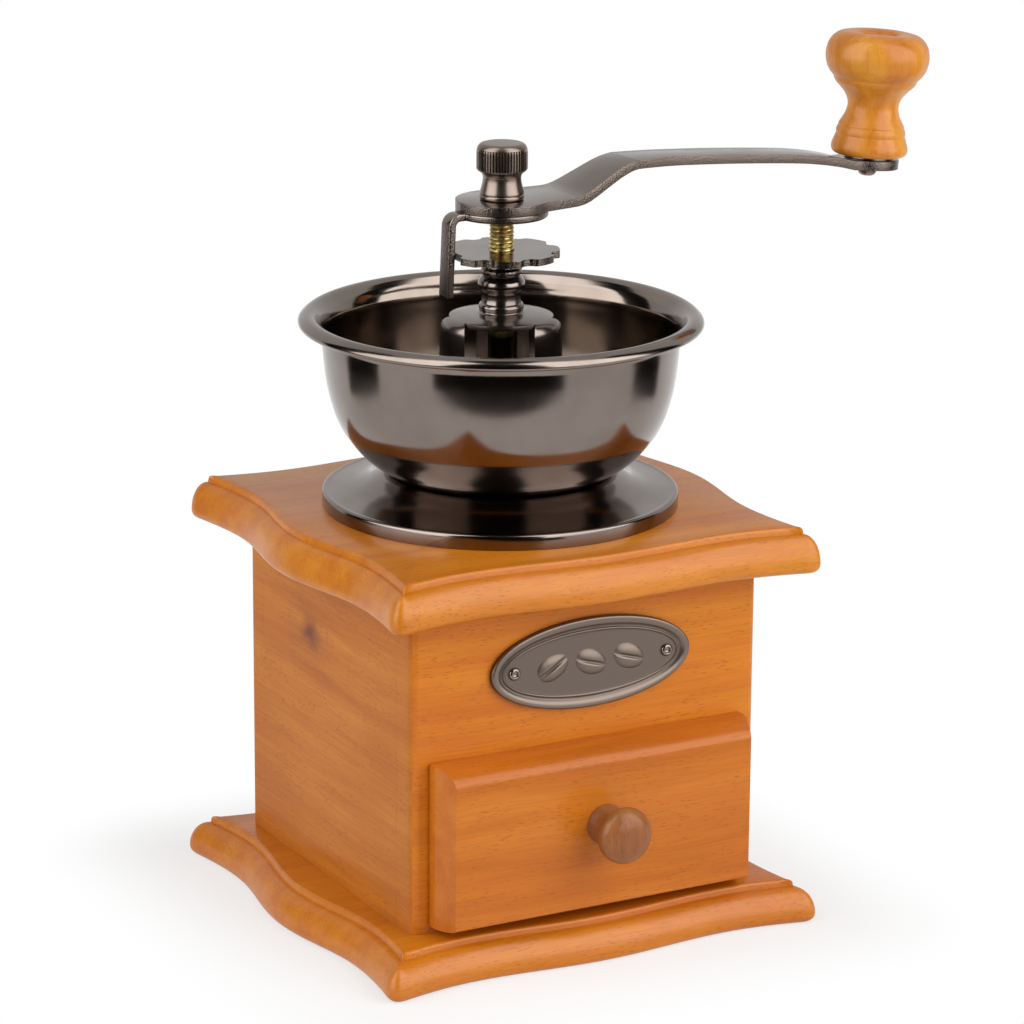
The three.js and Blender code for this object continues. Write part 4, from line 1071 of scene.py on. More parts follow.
@dataclass
class Drawer:
    """The drawer: a rounded front, a turned knob and a plain box behind."""

    finishes: Finishes
    half_width: float = 49.0
    bottom: float = 14.1
    top: float = 61.0
    back: float = -51.4
    face: float = -62.6
    straight: float = 2.6
    # How far the flat slanted sides, the rounded top and the rounded foot draw the front in
    draw: Point = (2.4, 4.6, 1.8)
    edge: float = 0.45
    steps: int = 14
    knob_centre: float = 39.2
    knob_section: Section = (
        (0.0, 0.0), (5.8, 0.0), ((5.75, 0.5), (5.4, 1.3), (4.85, 2.6), (4.55, 4.2), (4.6, 5.6), (5.1, 6.9),
         (6.3, 7.9), (7.35, 8.7), (7.9, 9.7), (8.0, 10.7), (7.75, 11.9), (7.0, 13.1), (5.6, 14.1),
         (3.6, 14.75), (1.6, 14.97), (0.0, 15.0)),
    )

    def build_front(self) -> bpy.types.Object:
        """Models the drawer front, whose edges are rounded over most of its thickness.

        Returns:
            The drawer front.
        """
        rings: list[list[Point]] = []
        side, top, foot = self.draw
        start = self.back - self.straight
        # The first two rings bound the straight back part of the edge
        depths = [self.back, *(start - (start - self.face) * sine for sine, _ in quarter(self.steps))]
        for depth, (sine, cosine) in zip(depths, ((0, 1), *quarter(self.steps))):
            half, share = self.half_width - side * sine, 1 - cosine
            low, high = self.bottom + foot * share, self.top - top * share
            rings.append([(-half, depth, low), (half, depth, low), (half, depth, high), (-half, depth, high)])
        front = loft("wood_drawer_front", rings)
        soften(front, self.edge, segments=3, angle=30, flat=True)
        return front

    def build(self) -> None:
        """Models, dresses and places the drawer."""
        dress(self.build_front(), "drawer", Slot.STAINED_BEECH, self.finishes.drawer, "drawer_front")
        knob = turn("wood_drawer_knob", profile(self.knob_section, steps=6), 64)
        place(knob, moved(0, self.face, self.knob_centre) @ FORWARD)
        soften(knob)
        dress(knob, "drawer", Slot.KNOB_BEECH, self.finishes.drawer_knob, "drawer_knob")
        paint(self.finishes.inside, "drawer_back")
        paint(self.finishes.inside_long, "drawer_side_left", "drawer_side_right", "drawer_floor")
        paint(self.finishes.zinc, "drawer_knob_screw")


@dataclass
class Hopper:
    """The pressed flange on the lid and the spun bowl on it."""

    finishes: Finishes
    lining_top: float = 168.0
    bowl_edge: float = 0.12
    flange_edge: float = 0.18
    # Radius and level, starting under the skirt
    flange_section: Section = (
        (49.2, 116.0), (50.4, 116.0), (50.4, 119.3), ((50.28, 119.85), (49.9, 120.2), (49.4, 120.3)),
        (48.7, 120.12), ((45.4, 120.42), (41.6, 121.05), (38.4, 122.2), (36.0, 123.6), (34.2, 124.7)),
        ((33.4, 125.25), (32.2, 125.6), (31.2, 125.7)), (22.6, 125.7), (22.6, 116.0), (23.8, 116.0),
        (23.8, 124.5), (33.4, 124.5), ((35.2, 122.9), (37.6, 121.2), (41.2, 119.9), (45.2, 119.25),
         (49.2, 118.9)),
    )
    bowl_section: Section = (
        (18.0, 125.7), (30.0, 125.7), ((31.4, 125.9), (33.2, 126.8), (36.4, 128.8), (39.6, 131.6),
         (43.42, 136.3), (45.28, 139.4), (47.09, 143.9), (48.9, 151.0), (49.95, 160.0), (50.2, 165.2)),
        ((50.75, 166.6), (52.2, 167.75), (54.0, 168.15), (55.2, 167.85)), ((55.9, 167.66), (56.6, 167.95),
         (56.9, 168.7), (56.6, 169.45), (55.95, 170.1), (55.1, 170.65), (54.2, 170.88), (53.2, 170.75),
         (52.2, 170.2), (51.4, 169.4)), ((50.5, 168.3), (49.65, 166.6), (49.15, 164.6), (48.85, 160.0),
         (47.8, 151.2), (46.0, 144.3), (44.2, 139.9), (42.4, 136.4), (39.0, 132.4), (36.0, 129.9),
         (33.6, 128.3), (31.8, 127.3), (30.0, 126.8)), (18.0, 126.8),
    )

    def build(self) -> None:
        """Models, dresses and places the flange and the bowl."""
        flange = turn("metal_mounting_flange", profile(self.flange_section), 160)
        soften(flange, self.flange_edge)
        dress(flange, "case", Slot.GUNMETAL, self.finishes.gunmetal, "mounting_flange")
        bowl = turn("metal_hopper_bowl", profile(self.bowl_section, steps=6), 192)
        soften(bowl, self.bowl_edge, angle=38)
        dress(bowl, "case", Slot.GUNMETAL, self.finishes.gunmetal, "hopper_bowl")

        def inside(centre: Vector, normal: Vector) -> bool:
            """Says whether a face looks at the axis from below the lip."""
            return centre.z < self.lining_top and centre.xy.dot(normal.xy) < 0

        line_faces(bowl, self.finishes.bowl_inside, inside)


@dataclass
class Bearing:
    """The cast bridge with its sleeve, the guide under it, the bush and the clamp screws."""

    finishes: Finishes
    window_half: float = 9.8
    window_reach: Spot = (10.0, 32.0)
    window_bottom: float = 132.0
    window_top: float = 172.5
    plate_underside: float = 168.7
    plate_radius: float = 14.6
    plate_top: float = 174.0
    overlap: float = 0.5
    screw_edge: float = 0.08
    bush_edge: float = 0.15
    bridge_edge: float = 0.4
    clamp_circle: float = 26.8
    slot_half: Spot = (4.0, 0.5)
    slot_levels: Spot = (133.1, 136.0)
    section: Section = (
        (14.3, 128.8), (30.4, 128.8), (30.4, 131.8), (20.2, 131.8), ((18.9, 132.3), (18.3, 133.6)),
        ((17.7, 146.0), (17.3, 160.7), (17.2, 165.4), (16.95, 167.6), (16.3, 169.0), (15.1, 169.9),
         (13.0, 170.4), (10.6, 170.75), (8.2, 170.95), (6.6, 171.1)), ((6.15, 171.5), (6.3, 172.2),
         (6.35, 172.9), (6.1, 173.5), (5.6, 173.9)), ((5.42, 175.2), (5.45, 176.6), (5.75, 177.4)),
        ((6.35, 178.2), (6.6, 179.1), (6.45, 180.1), (5.95, 180.9)), (5.36, 181.7), (4.95, 181.7),
        (4.95, 168.7), (12.3, 168.7), (14.3, 165.3),
    )
    bush_section: Section = (
        (3.6, 168.7), (4.9, 168.7), (4.9, 181.7), (3.6, 181.7),
    )
    screw_section: Section = (
        (0.0, 97.6), (2.0, 97.6), (2.0, 131.8), (3.2, 131.8), ((3.2, 133.4), (2.9, 133.9), (2.2, 134.15),
         (0.0, 134.2)),
    )

    def build_bridge(self) -> bpy.types.Object:
        """Turns the bridge's body and cuts its three feed windows.

        Returns:
            The bridge.
        """
        bridge = turn("metal_bridge", profile(self.section), 120)
        half, (near, far), under = self.window_half, self.window_reach, self.plate_underside
        plan = [(near, -half), (far, -half), (far, half), (near, half)]
        for number in range(3):
            low = raised("window_low", plan, self.window_bottom, under)
            high = raised("window_high", plan, under - self.overlap, self.window_top)
            plate = circle(self.plate_radius, 96)
            disc = raised("plate_disc", plate, under - 2 * self.overlap, self.plate_top)
            carve(high, disc)
            carve(low, high, "UNION")
            soften(low)
            place(low, Matrix.Rotation(number * FULL_TURN / 3, 4, "Z"))
            carve(bridge, low)
        soften(bridge, self.bridge_edge, segments=3, angle=40)
        return bridge

    def build(self) -> None:
        """Models, dresses and places the bearing pieces."""
        dress(self.build_bridge(), "case", Slot.BLACK_CASTING, self.finishes.casting, "bridge")
        bush = turn("brass_bush", profile(self.bush_section), 64)
        soften(bush, self.bush_edge)
        dress(bush, "case", Slot.BRASS, self.finishes.brass, "bearing_bush")
        screw = turn("screw", profile(self.screw_section), 40)
        long, wide = self.slot_half
        plan = [(-long, -wide), (long, -wide), (long, wide), (-long, wide)]
        carve(screw, raised("slot", plan, *self.slot_levels))
        for number in range(3):
            clamp = copied(screw, f"steel_clamp_screw_{number + 1}")
            turned = Matrix.Rotation((2 * number + 1) * math.pi / 3, 4, "Z")
            place(clamp, turned @ moved(self.clamp_circle, 0, 0))
            soften(clamp, self.screw_edge)
            dress(clamp, "case", Slot.ZINC_STEEL, self.finishes.zinc, f"clamp_screw_{number + 1}")
        bpy.data.objects.remove(screw)
        paint(self.finishes.casting, "guide_plate")
        paint(self.finishes.iron, "outer_burr", "inner_burr")
        paint(self.finishes.zinc, "spring_seat", "burr_washer", "burr_nut")


@dataclass
class Spindle:
    """The brass spindle, with a thread above the adjusting wheel."""

    finishes: Finishes
    radius: float = 3.5
    pitch: float = 1.15
    depth: float = 0.38
    thread_bottom: float = 187.6
    thread_top: float = 197.9
    fade: float = 0.5
    # Corners within this of the surface are pressed in
    skin: float = 0.1
    # The rod above the section is cut into rows, so that the thread can be pressed into it
    rows: int = 150
    rod_top: float = 214.05
    chamfer: float = 0.35
    section: Section = (
        (0.0, 85.8), (2.5, 85.8), (2.5, 92.2), (3.2, 92.2), (3.2, 110.4), (3.5, 110.4), (3.5, 187.0),
    )

    def build(self) -> None:
        """Models, dresses and places the spindle."""
        line = profile(self.section)
        start, top = line[-1][1], self.rod_top
        line += [(self.radius, start + (top - start) * (row + 1) / self.rows) for row in range(self.rows)]
        top += self.chamfer
        line += [(self.radius - self.chamfer, top), (0.0, top)]
        spindle = turn("brass_spindle", line, 56)
        for corner in spindle.data.vertices:
            x, y, z = corner.co / MM
            if math.hypot(x, y) < self.radius - self.skin:
                continue
            turns = (z - self.thread_bottom) / self.pitch - math.atan2(y, x) / FULL_TURN
            groove = (1 + math.cos(FULL_TURN * turns)) / 2
            share = min(1, max(0, min(z - self.thread_bottom, self.thread_top - z) / self.fade))
            reach = 1 - self.depth * share * groove / self.radius
            corner.co = Vector((x * reach, y * reach, z)) * MM
        soften(spindle)
        dress(spindle, "crank", Slot.BRASS, self.finishes.brass, "spindle")


@dataclass
class BurrSpring:
    """The spring that pushes the inner burr down."""

    finishes: Finishes
    radius: float = 5.35
    wire: float = 1.2
    turns: float = 4.0
    low: float = 112.2
    high: float = 125.95
    fixed_end: float = 126.6
    # The share of its length that is left with the crank at its highest
    keep: float = 0.955
    steps: int = 128
    sides: int = 12

    def build(self) -> None:
        """Models, dresses and places the spring."""
        rings: list[list[Point]] = []
        for step in range(self.steps + 1):
            share = step / self.steps
            angle, level = FULL_TURN * self.turns * share, self.low + (self.high - self.low) * share
            wire = [(self.radius + x, level + z) for x, z in circle(self.wire / 2, self.sides)]
            rings.append([(reach * math.cos(angle), reach * math.sin(angle), z) for reach, z in wire])
        spring = loft("metal_burr_spring", rings)
        soften(spring, angle=60)
        dress(spring, "case", Slot.ZINC_STEEL, self.finishes.zinc, "burr_spring")
        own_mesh(spring)


@dataclass
class AdjustingWheel:
    """The notched wheel on its hub."""

    finishes: Finishes
    radius: float = 16.3
    notches: int = 8
    notch_half: float = 1.9
    notch_depth: float = 1.9
    finger_notch_half: float = 3.4
    finger_notch_depth: float = 2.6
    first_notch: float = math.radians(181)
    corner: float = 0.34
    edge: float = 0.3
    bore: float = 3.6
    bore_levels: Spot = (180.0, 192.0)
    steps: int = 480
    bottom: float = 186.8
    top: float = 188.8
    hub_section: Section = (
        (3.6, 181.9), (5.3, 181.9), ((5.75, 182.5), (5.7, 183.4), (5.2, 184.1)), ((5.0, 185.2), (5.25, 186.2),
         (5.9, 186.8)), (5.9, 187.8), (3.6, 187.8),
    )

    def reach(self, angle: float) -> float:
        """Gives the wheel's radius in a direction, with soft corners at its notches.

        Args:
            angle: The direction.

        Returns:
            The radius.
        """
        step = FULL_TURN / self.notches
        off = (angle - self.first_notch + step / 2) % step - step / 2
        at_finger = abs((angle - self.first_notch + math.pi) % FULL_TURN - math.pi) < step / 2
        half = self.finger_notch_half if at_finger else self.notch_half
        depth = self.finger_notch_depth if at_finger else self.notch_depth
        sideways = abs(off) * (self.radius - depth / 2)
        return self.radius - depth / (1 + math.exp((sideways - half) / self.corner))

    def build(self) -> None:
        """Models, dresses and places the wheel."""
        reaches = [self.reach(FULL_TURN * step / self.steps) for step in range(self.steps)]
        plan = [(reach * x, reach * y) for reach, (x, y) in zip(reaches, circle(1.0, self.steps))]
        wheel = raised("metal_adjusting_wheel", plan, self.bottom, self.top)
        hub = turn("hub", profile(self.hub_section), 64)
        carve(wheel, raised("bore", circle(self.bore, 64), *self.bore_levels))
        carve(wheel, hub, "UNION")
        soften(wheel, self.edge, angle=50)
        dress(wheel, "wheel", Slot.BRONZED_STEEL, self.finishes.bronzed, "adjusting_wheel")


@dataclass
class LockBracket:
    """The keyed disc whose finger hangs into a notch of the wheel."""

    finishes: Finishes
    radius: float = 13.0
    bottom: float = 198.5
    top: float = 200.6
    finger_half: float = 2.6
    finger_reach: float = 17.8
    bend: float = 3.6
    tip: float = 177.0
    lean: float = 0.8
    play: float = 0.01
    edge: float = 0.5
    turned: float = math.radians(1)
    steps: int = 72
    bend_steps: int = 10

    def build(self) -> None:
        """Models, dresses and places the bracket: its tab is spun downwards about the bend's axis."""
        half = self.finger_half
        bend_x = self.finger_reach - self.bend
        side = math.asin(half / self.radius)
        angles = [side + (FULL_TURN - 2 * side) * step / self.steps for step in range(self.steps + 1)]
        plan = [(bend_x, -half), (bend_x, half)]
        plan += [(self.radius * math.cos(angle), self.radius * math.sin(angle)) for angle in angles]
        bracket = raised("metal_lock_bracket", plan, self.bottom, self.top)
        pick(bracket, Part.FACE, lambda low, high: low.x > bend_x - self.play)
        centre = Vector((bend_x, 0, self.top - self.bend)) * MM
        bpy.ops.mesh.spin(steps=self.bend_steps, angle=math.pi / 2, center=centre, axis=(0, -1, 0))
        drop = self.top - self.bend - self.tip
        bpy.ops.mesh.extrude_region_move(TRANSFORM_OT_translate={"value": (self.lean * MM, 0, -drop * MM)})
        settle(bracket)
        place(bracket, Matrix.Rotation(math.pi + self.turned, 4, "Z"))
        soften(bracket, self.edge, segments=3, angle=40)
        dress(bracket, "crank", Slot.BRONZED_STEEL, self.finishes.bronzed, "lock_bracket")


@dataclass
class CrankArm:
    """The flat arm, bent up from the hub and drooping towards its eye."""

    finishes: Finishes
    turned: float = math.radians(5)
    top: float = 203.2
    sheet: float = 2.6
    edge: float = 0.5
    hub_radius: float = 13.0
    end_radius: float = 9.0
    length: float = 128.6
    end_flat: float = 9.0
    # Half the width that is left where a round end closes
    tip: float = 0.6
    hub_steps: int = 12
    # Distances from the axis along the hub's flat part
    hub_rows: tuple[float, ...] = (0.0, 2.0, 4.0, 6.0, 8.0, 10.0, 12.0, 14.0)
    eye_steps: int = 14
    tilt: float = math.radians(4.5)
    rise: float = 7.7
    droop: float = 8.7
    flat: float = 17.5
    crest: float = 42.2
    rise_shares: tuple[Spot, ...] = (
        (0, 0), (0.09, 0.01), (0.19, 0.07), (0.29, 0.19), (0.4, 0.35), (0.64, 0.7), (0.74, 0.83), (0.84, 0.93),
        (0.93, 0.985), (1, 1),
    )
    droop_shares: tuple[Spot, ...] = (
        (0.1, 0.03), (0.2, 0.08), (0.4, 0.22), (0.6, 0.39), (0.75, 0.54), (0.85, 0.68), (0.93, 0.83), (1, 1),
    )
    # Distance from the axis and half the arm's width, between the two round ends
    widths: tuple[Spot, ...] = (
        (6.0, 11.53), (8.5, 11.0), (13.0, 10.5), (19.0, 9.8), (24.0, 9.0), (29.0, 8.2), (34.5, 7.5),
        (40.0, 6.95), (48.0, 6.45), (57.2, 6.1), (80.0, 6.05), (110.0, 6.05), (118.0, 6.05), (122.0, 6.15),
    )

    def end_level(self) -> float:
        """Gives the level of the arm's upper face at its eye."""
        return self.top + self.rise - self.droop - self.end_flat * math.tan(self.tilt)

    def top_line(self) -> list[Spot]:
        """Draws the upper face as seen from the side, from the hub's far edge to the eye's end.

        Returns:
            Distances from the axis and heights above the hub.
        """
        start = self.length - self.end_flat
        rise = [(self.flat + (self.crest - self.flat) * run, level * self.rise)
                for run, level in self.rise_shares]
        droop = [(self.crest + (start - self.crest) * run, self.rise - level * self.droop)
                 for run, level in self.droop_shares]
        line = spline([*rise, *droop], 7)
        reach = self.end_flat + self.end_radius
        slope = math.tan(self.tilt)
        hub = [(-self.hub_radius * cosine, 0.0) for _, cosine in quarter(self.hub_steps)[:-1]]
        hub += [(x, 0.0) for x in self.hub_rows]
        last_x, last_z = line[-1]
        eye = [reach * sine for sine, _ in quarter(self.eye_steps)[1:]]
        return [*hub, *line, *((last_x + x, last_z - x * slope) for x in eye)]

    def half_width(self, x: float) -> float:
        """Gives half the arm's width at a distance from the axis.

        Args:
            x: The distance.

        Returns:
            Half the width.
        """
        table = spline(self.widths, 6)
        if x <= table[0][0]:
            return math.sqrt(max(self.hub_radius**2 - x * x, self.tip**2))
        blade = table[-1][1]
        for (x1, w1), (x2, w2) in zip(table, table[1:]):
            if x1 <= x <= x2:
                blade = w1 + (w2 - w1) * (x - x1) / (x2 - x1)
        away = x - self.length
        if abs(away) >= self.end_radius:
            return self.tip if away > 0 else blade
        eye = math.sqrt(max(self.end_radius**2 - away * away, self.tip**2))
        return eye if away > 0 else max(blade, eye)

    def build(self) -> None:
        """Models, dresses and places the arm, section by section along its length."""
        line = self.top_line()
        sections: list[list[Point]] = []
        for index, (x, z) in enumerate(line):
            before, after = line[max(index - 1, 0)], line[min(index + 1, len(line) - 1)]
            along = (Vector(after) - Vector(before)).normalized()
            low_x, low_z = x + along.y * self.sheet, z - along.x * self.sheet
            half = self.half_width(x)
            spots = ((x, half, z), (x, -half, z), (low_x, -half, low_z), (low_x, half, low_z))
            sections.append([(x, y, self.top + z) for x, y, z in spots])
        arm = loft("metal_crank_arm", sections)
        place(arm, Matrix.Rotation(self.turned, 4, "Z"))
        soften(arm, self.edge, segments=3, angle=50)
        dress(arm, "crank", Slot.BRONZED_STEEL, self.finishes.bronzed, "crank_arm")

    def eye_frame(self) -> Matrix:
        """Gives the place and tilt of the rivet at the arm's end."""
        shift = moved(self.length, 0, self.end_level())
        return Matrix.Rotation(self.turned, 4, "Z") @ shift @ Matrix.Rotation(self.tilt, 4, "Y")


@dataclass
class CrankKnob:
    """The turned knob, its plug, and the washer and rivet that hold it on the arm."""

    finishes: Finishes
    arm: CrankArm
    floor: float = 0.9
    edge: float = 0.08
    knob_section: Section = (
        (2.4, 0.0), (9.2, 0.0), ((10.5, 0.35), (11.2, 1.4), (11.2, 2.8), (10.75, 4.2), (10.35, 5.4),
         (10.16, 5.9), (10.2, 6.4), (10.15, 7.2), (9.9, 7.9), (9.66, 8.4), (9.62, 8.9), (8.9, 10.2),
         (8.1, 11.7), (7.6, 13.4), (7.5, 14.8), (7.8, 16.2), (8.7, 17.9), (10.1, 19.5), (11.5, 20.9),
         (12.15, 21.9)), ((12.3, 22.5), (12.65, 22.9)), ((13.6, 24.0), (14.6, 25.8), (15.15, 28.2),
         (15.1, 30.4), (14.5, 32.6), (13.3, 34.3), (11.7, 35.45), (9.8, 35.95), (8.0, 35.98), (6.4, 35.75),
         (5.4, 35.2)), (5.35, 34.0), (5.35, 30.4), (2.4, 30.4),
    )
    plug_section: Section = (
        (0.0, 32.5), (5.3, 32.5), (5.3, 34.7), ((5.1, 35.0), (4.0, 35.08), (0.0, 35.1)),
    )
    washer_section: Section = (
        (2.1, 0.1), (7.0, 0.1), (7.0, 0.7), (2.1, 0.7),
    )
    rivet_section: Section = (
        (0.0, -5.25), ((1.6, -5.2), (2.35, -4.7), (2.7, -3.9), (2.7, -2.65)), (2.0, -2.65), (2.0, 31.4),
        (4.0, 31.4), ((3.7, 32.6), (2.6, 33.1), (0.0, 33.2)),
    )

    def build(self) -> None:
        """Models, dresses and places the knob and what holds it."""
        base = self.arm.eye_frame()
        above = base @ moved(0, 0, self.floor)
        wood, steel, zinc = self.finishes.crank_knob, self.finishes.bronzed, self.finishes.zinc
        table = (
            ("wood_crank_knob", self.knob_section, above, "knob", Slot.STAINED_BEECH, wood, "crank_knob"),
            ("wood_knob_plug", self.plug_section, above, "knob", Slot.STAINED_BEECH, wood, "knob_plug"),
            ("steel_knob_washer", self.washer_section, base, "crank", Slot.ZINC_STEEL, zinc, "knob_washer"),
            ("steel_knob_rivet", self.rivet_section, base, "crank", Slot.BRONZED_STEEL, steel, "knob_rivet"),
        )
        for name, section, matrix, body, slot, material, node in table:
            piece = turn(name, profile(section, steps=6), 80)
            place(piece, matrix)
            soften(piece, self.edge, angle=30)
            dress(piece, body, slot, material, node)


@dataclass
class ThumbNut:
    """The knurled nut on top, with a waist below its head."""

    finishes: Finishes
    knurls: int = 52
    knurl_steps: int = 5
    knurl_depth: float = 0.48
    knurl_reach: float = 6.9
    knurl_low: float = 211.3
    knurl_high: float = 217.5
    knurl_fade: float = 0.5
    section: Section = (
        (3.6, 203.4), (6.0, 203.4), ((6.2, 203.7), (6.2, 204.3), (6.0, 204.6)), ((6.15, 204.9), (6.1, 205.5),
         (5.8, 206.6), (5.5, 207.9), (5.36, 209.0), (5.42, 209.8), (5.75, 210.5), (6.3, 211.0)),
        ((6.75, 211.35), (7.1, 211.8)), ((7.2, 212.2), (7.2, 216.6), (7.12, 217.1)), ((6.95, 217.7),
         (6.6, 218.3), (6.1, 218.75), (5.5, 218.93), (4.8, 218.97), (0.0, 218.97)), (0.0, 215.0),
        (3.6, 215.0),
    )

    def build(self) -> None:
        """Models, dresses and places the nut."""
        nut = turn("metal_thumb_nut", profile(self.section, steps=4), self.knurls * self.knurl_steps)
        for corner in nut.data.vertices:
            x, y, z = corner.co / MM
            reach = math.hypot(x, y)
            if reach < self.knurl_reach or not self.knurl_low < z < self.knurl_high:
                continue
            wave = (1 + math.cos(self.knurls * math.atan2(y, x))) / 2
            depth = self.knurl_depth * wave * min(1.0, (z - self.knurl_low) / self.knurl_fade)
            share = 1 - depth / reach
            corner.co = Vector((x * share, y * share, z)) * MM
        soften(nut, angle=40)
        dress(nut, "nut", Slot.GUNMETAL, self.finishes.nut_plate, "thumb_nut")


# Floor, light and camera


@dataclass(frozen=True)
class Lamp:
    """A soft square lamp aimed at the mill."""

    name: str
    azimuth: float
    elevation: float
    distance: float
    size: Spot
    power: float


@dataclass
class Surroundings:
    """The pale floor, the lamps, the black drapes that metal mirrors, and the camera."""

    azimuth: float = -28.48
    elevation: float = 15.963
    distance: float = 1223.738
    aim: Point = (0.0, 0.0, 112.708)
    aim_right: float = 3.422
    roll: float = 0.405
    lens: float = 151.78
    sensor: float = 36.0
    # How far the camera sees
    sight: float = 20000.0
    lamps: tuple[Lamp, ...] = (
        Lamp("key_light", 31.5, 30.0, 1250.0, (1300.0, 1200.0), 14.0),
        Lamp("fill_light", -88.5, 30.0, 1250.0, (1300.0, 1200.0), 10.0),
    )
    lamp_level: float = 110.0
    # Cloth round the set that only metal and lacquer mirror
    black_cloth: tuple[Window, ...] = (
        (-32.0, 28.0, 0.0, 90.0), (90.0, 116.0, 0.0, 60.0), (-116.0, -90.0, 0.0, 60.0),
        (-180.0, 180.0, 80.0, 90.0),
    )
    white_silk: tuple[Window, ...] = ((28.0, 90.0, 2.0, 80.0), (-90.0, -32.0, 2.0, 80.0))
    silk_light: float = 3.3
    weave: float = 25.0
    fill: float = 0.3
    mirrored_white: float = 0.72
    dome_radius: float = 2300.0
    # The dome's rings, each two degrees high
    dome_rings: int = 90
    # Black sheets on the table that only mirror-like surfaces see, to darken their reflections: each one's
    # near line's distance, and the azimuths on both sides
    dark_table: tuple[Point, ...] = ((320.0, -42.0, 40.0), (400.0, 92.0, 120.0), (400.0, -113.0, -82.0))
    # The floor is paper under the mill and turns white within a short way from the base's edge
    footprint: float = 66.0
    floor_size: float = 8000.0
    floor_fade: float = 50.0
    floor_white: float = 0.62

    @staticmethod
    def outward(azimuth: float, elevation: float) -> Vector:
        """Gives the direction from the mill to a place round it, both angles in degrees.

        Args:
            azimuth: Its azimuth from the drawer's side.
            elevation: Its elevation.

        Returns:
            The direction.
        """
        turn_angle, lift = math.radians(azimuth), math.radians(elevation)
        level = math.cos(lift)
        return Vector((math.sin(turn_angle) * level, -math.cos(turn_angle) * level, math.sin(lift)))

    def build_camera(self) -> None:
        """Places the camera where the photograph was taken from."""
        back = self.outward(self.azimuth, self.elevation)
        side = Vector((0, 0, 1)).cross(back).normalized()
        rise = back.cross(side)
        middle = Vector(self.aim) + side * self.aim_right
        angle = math.radians(self.roll)
        right = side * math.cos(angle) + rise * math.sin(angle)
        above = rise * math.cos(angle) - side * math.sin(angle)
        clear_bench()
        bpy.ops.object.camera_add()
        camera = bpy.context.object
        camera.name = "photo_camera"
        camera.data.sensor_width = self.sensor
        camera.data.lens = self.lens
        camera.data.clip_end = self.sight * MM
        turned = Matrix((right, above, back)).transposed().to_4x4()
        camera.matrix_world = Matrix.Translation((middle + back * self.distance) * MM) @ turned
        bpy.context.scene.camera = camera

    def build_lamps(self) -> None:
        """Places the soft lamps."""
        for lamp in self.lamps:
            way = self.outward(lamp.azimuth, lamp.elevation)
            place_of_lamp = (way * lamp.distance + Vector((0, 0, self.lamp_level))) * MM
            clear_bench()
            bpy.ops.object.light_add(type="AREA", location=place_of_lamp)
            light = bpy.context.object
            light.name = lamp.name
            light.rotation_euler = way.to_track_quat("Z", "Y").to_euler()
            light.data.shape = "RECTANGLE"
            light.data.size, light.data.size_y = lamp.size[0] * MM, lamp.size[1] * MM
            light.data.energy = lamp.power
            light.visible_glossy = False

    def hang(self, cloth: bpy.types.Object, material: bpy.types.Material) -> None:
        """Gives a cloth its material and hides it from everything but mirror-like surfaces.

        Args:
            cloth: The cloth.
            material: Its material.
        """
        cloth.data.materials.append(material)
        cloth.rotation_euler.z = math.radians(self.azimuth)
        for ray in ("camera", "diffuse", "shadow", "transmission"):
            setattr(cloth, f"visible_{ray}", False)

    def build_dome(self, name: str, windows: Sequence[Window], material: bpy.types.Material) -> None:
        """Hangs cloth in parts of a dome round the set.

        Args:
            name: The cloth's name.
            windows: The parts, by azimuth from the camera's and by elevation.
            material: The cloth's material.
        """

        def bare(low: Vector, high: Vector) -> bool:
            """Says whether no cloth hangs at a part of the dome.

            Args:
                low: The part's lowest corner.
                high: Its highest corner.

            Returns:
                Whether the part stays bare.
            """
            middle = (low + high) / 2
            azimuth = math.degrees(math.atan2(middle.x, -middle.y))
            elevation = math.degrees(math.atan2(middle.z, middle.xy.length))
            return not any(west < azimuth < east and foot < elevation < top
                           for west, east, foot, top in windows)

        clear_bench()
        bpy.ops.mesh.primitive_uv_sphere_add(
            segments=2 * self.dome_rings, ring_count=self.dome_rings, radius=self.dome_radius * MM
        )
        dome = bpy.context.object
        dome.name = dome.data.name = name
        pick(dome, Part.FACE, bare)
        bpy.ops.mesh.delete(type="FACE")
        bpy.ops.object.mode_set(mode="OBJECT")
        self.hang(dome, material)

    def build_cloth(self) -> None:
        """Hangs the black cloth and the bright silk that polished metal mirrors as dark and light columns."""
        black, add = new_material("black_cloth")
        weave = add("TexNoise", {"Scale": 1 / (self.weave * MM)})
        colour = add("MixRGB", {0: weave, 1: "100d0c", 2: "1e1a18"})
        add("OutputMaterial", {0: add("BsdfDiffuse", {0: colour})})
        silk, add = new_material("white_silk")
        add("OutputMaterial", {0: add("Emission", {"Color": (1, 1, 1, 1), "Strength": self.silk_light})})
        self.build_dome("black_drapes", self.black_cloth, black)
        self.build_dome("white_silks", self.white_silk, silk)
        for number, (near, west, east) in enumerate(self.dark_table):
            middle, half = math.radians(west + east) / 2, math.radians(east - west) / 2
            spots = []
            for side in (-1, 1):
                for reach in (near, self.dome_radius)[::side]:
                    angle = middle + side * half
                    far = reach / math.cos(half)
                    spots.append((math.sin(angle) * far, -math.cos(angle) * far, 1.0))
            table = outline(f"dark_table_{number + 1}", spots)
            open_mesh(table)
            bpy.ops.mesh.select_all(action="SELECT")
            bpy.ops.mesh.edge_face_add()
            settle(table)
            self.hang(table, black)

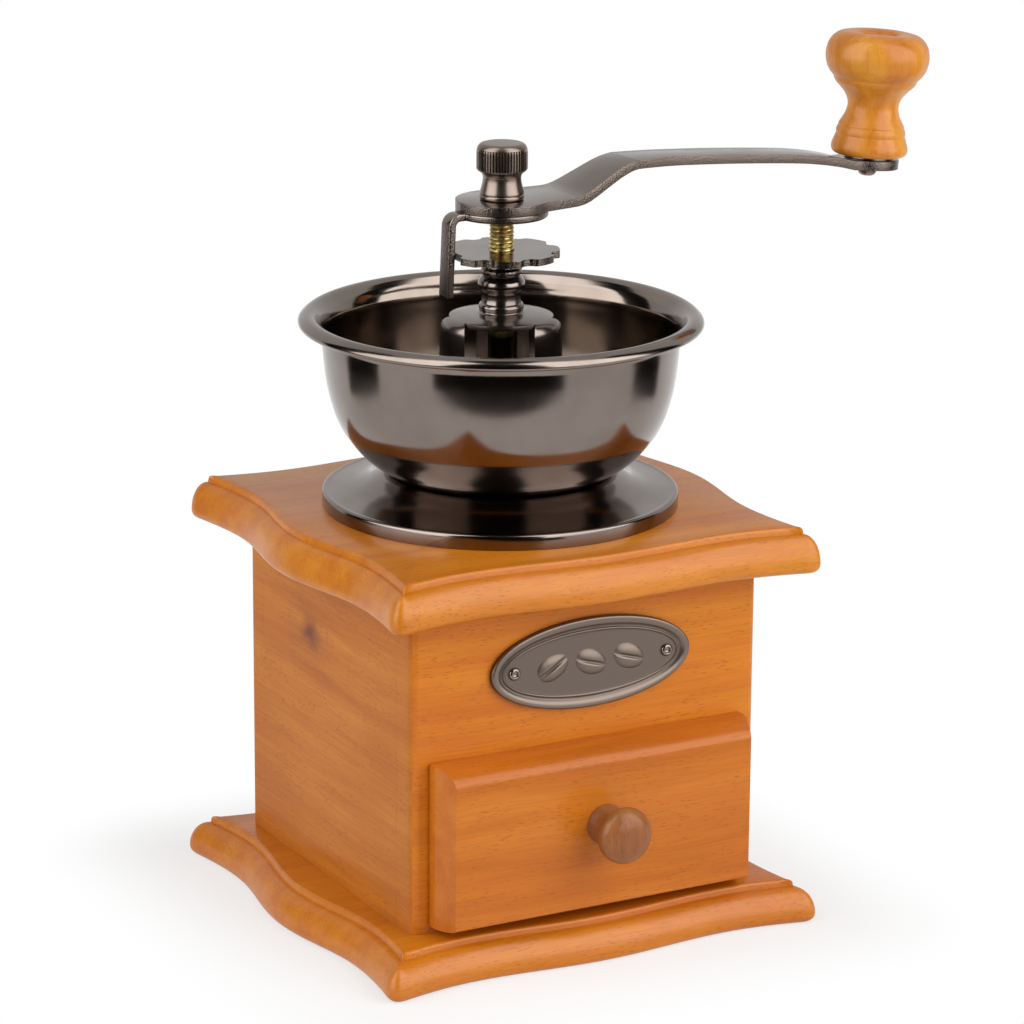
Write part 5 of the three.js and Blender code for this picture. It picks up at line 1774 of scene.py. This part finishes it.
    def build_floor(self) -> None:
        """Lays the pale floor, which turns into the white background away from the mill."""
        clear_bench()
        bpy.ops.mesh.primitive_plane_add(size=self.floor_size * MM)
        floor = bpy.context.object
        floor.name = "studio_floor"
        material, add = new_material("pale_floor")
        spot = add("TexCoord", output="Object")
        away = add("VectorMath", {"operation": "ABSOLUTE", 0: spot})
        edge = self.footprint * MM
        away = add("VectorMath", {"operation": "SUBTRACT", 0: away, 1: (edge, edge, 0.0)})
        away = add("VectorMath", {"operation": "MAXIMUM", 0: away, 1: (0.0, 0.0, 0.0)})
        reach = add("VectorMath", {"operation": "LENGTH", 0: away}, "Value")
        fade = add("MapRange", {"interpolation_type": "SMOOTHSTEP", 0: reach, 1: 0.0, 2: self.floor_fade * MM,
                                3: self.floor_white})
        paper = add("BsdfDiffuse", {"Color": "f4f4f4"})
        white = add("Emission", {"Color": (1, 1, 1, 1), "Strength": 1.0})
        rays = add("LightPath").node.outputs
        seen = add("Math", {"operation": "MAXIMUM", 0: rays["Is Camera Ray"], 1: rays["Is Glossy Ray"]})
        share = add("Math", {"operation": "MULTIPLY", 0: fade, 1: seen})
        add("OutputMaterial", {0: add("MixShader", {0: share, 1: paper, 2: white})})
        floor.data.materials.append(material)

    def build_world(self) -> None:
        """Lights the scene softly from all round, and shows white where the camera, metal and glass look."""
        world = bpy.data.worlds.new("white_studio")
        bpy.context.scene.world = world
        world.use_nodes = True
        world.node_tree.nodes.clear()
        add = partial(add_node, world.node_tree)
        rays = add("LightPath").node.outputs
        straight = add("Math", {"operation": "MAXIMUM", 0: rays["Is Camera Ray"],
                                1: rays["Is Transmission Ray"]})
        level = add("MapRange", {0: rays["Is Glossy Ray"], 3: self.fill, 4: self.mirrored_white})
        level = add("MapRange", {0: straight, 3: level, 4: 1.0})
        add("OutputWorld", {0: add("Background", {"Color": (1, 1, 1, 1), "Strength": level})})

    def build(self) -> None:
        """Sets up everything round the mill."""
        self.build_camera()
        self.build_world()
        self.build_lamps()
        self.build_cloth()
        self.build_floor()
        bpy.context.scene.view_settings.view_transform = "Standard"


def main() -> None:
    """Builds the surroundings and every piece."""
    logging.basicConfig(level=logging.INFO, format="%(message)s")
    Surroundings().build()
    finishes = Finishes()
    kinds = (Case, Plaque, Drawer, Hopper, Bearing, Spindle, BurrSpring, AdjustingWheel, LockBracket)
    arm = CrankArm(finishes)
    for assembly in (*(kind(finishes) for kind in kinds), arm, CrankKnob(finishes, arm), ThumbNut(finishes)):
        assembly.build()
        log.info("Built: %s", type(assembly).__name__)
    clear_bench()


if __name__ == "__main__":
    main()
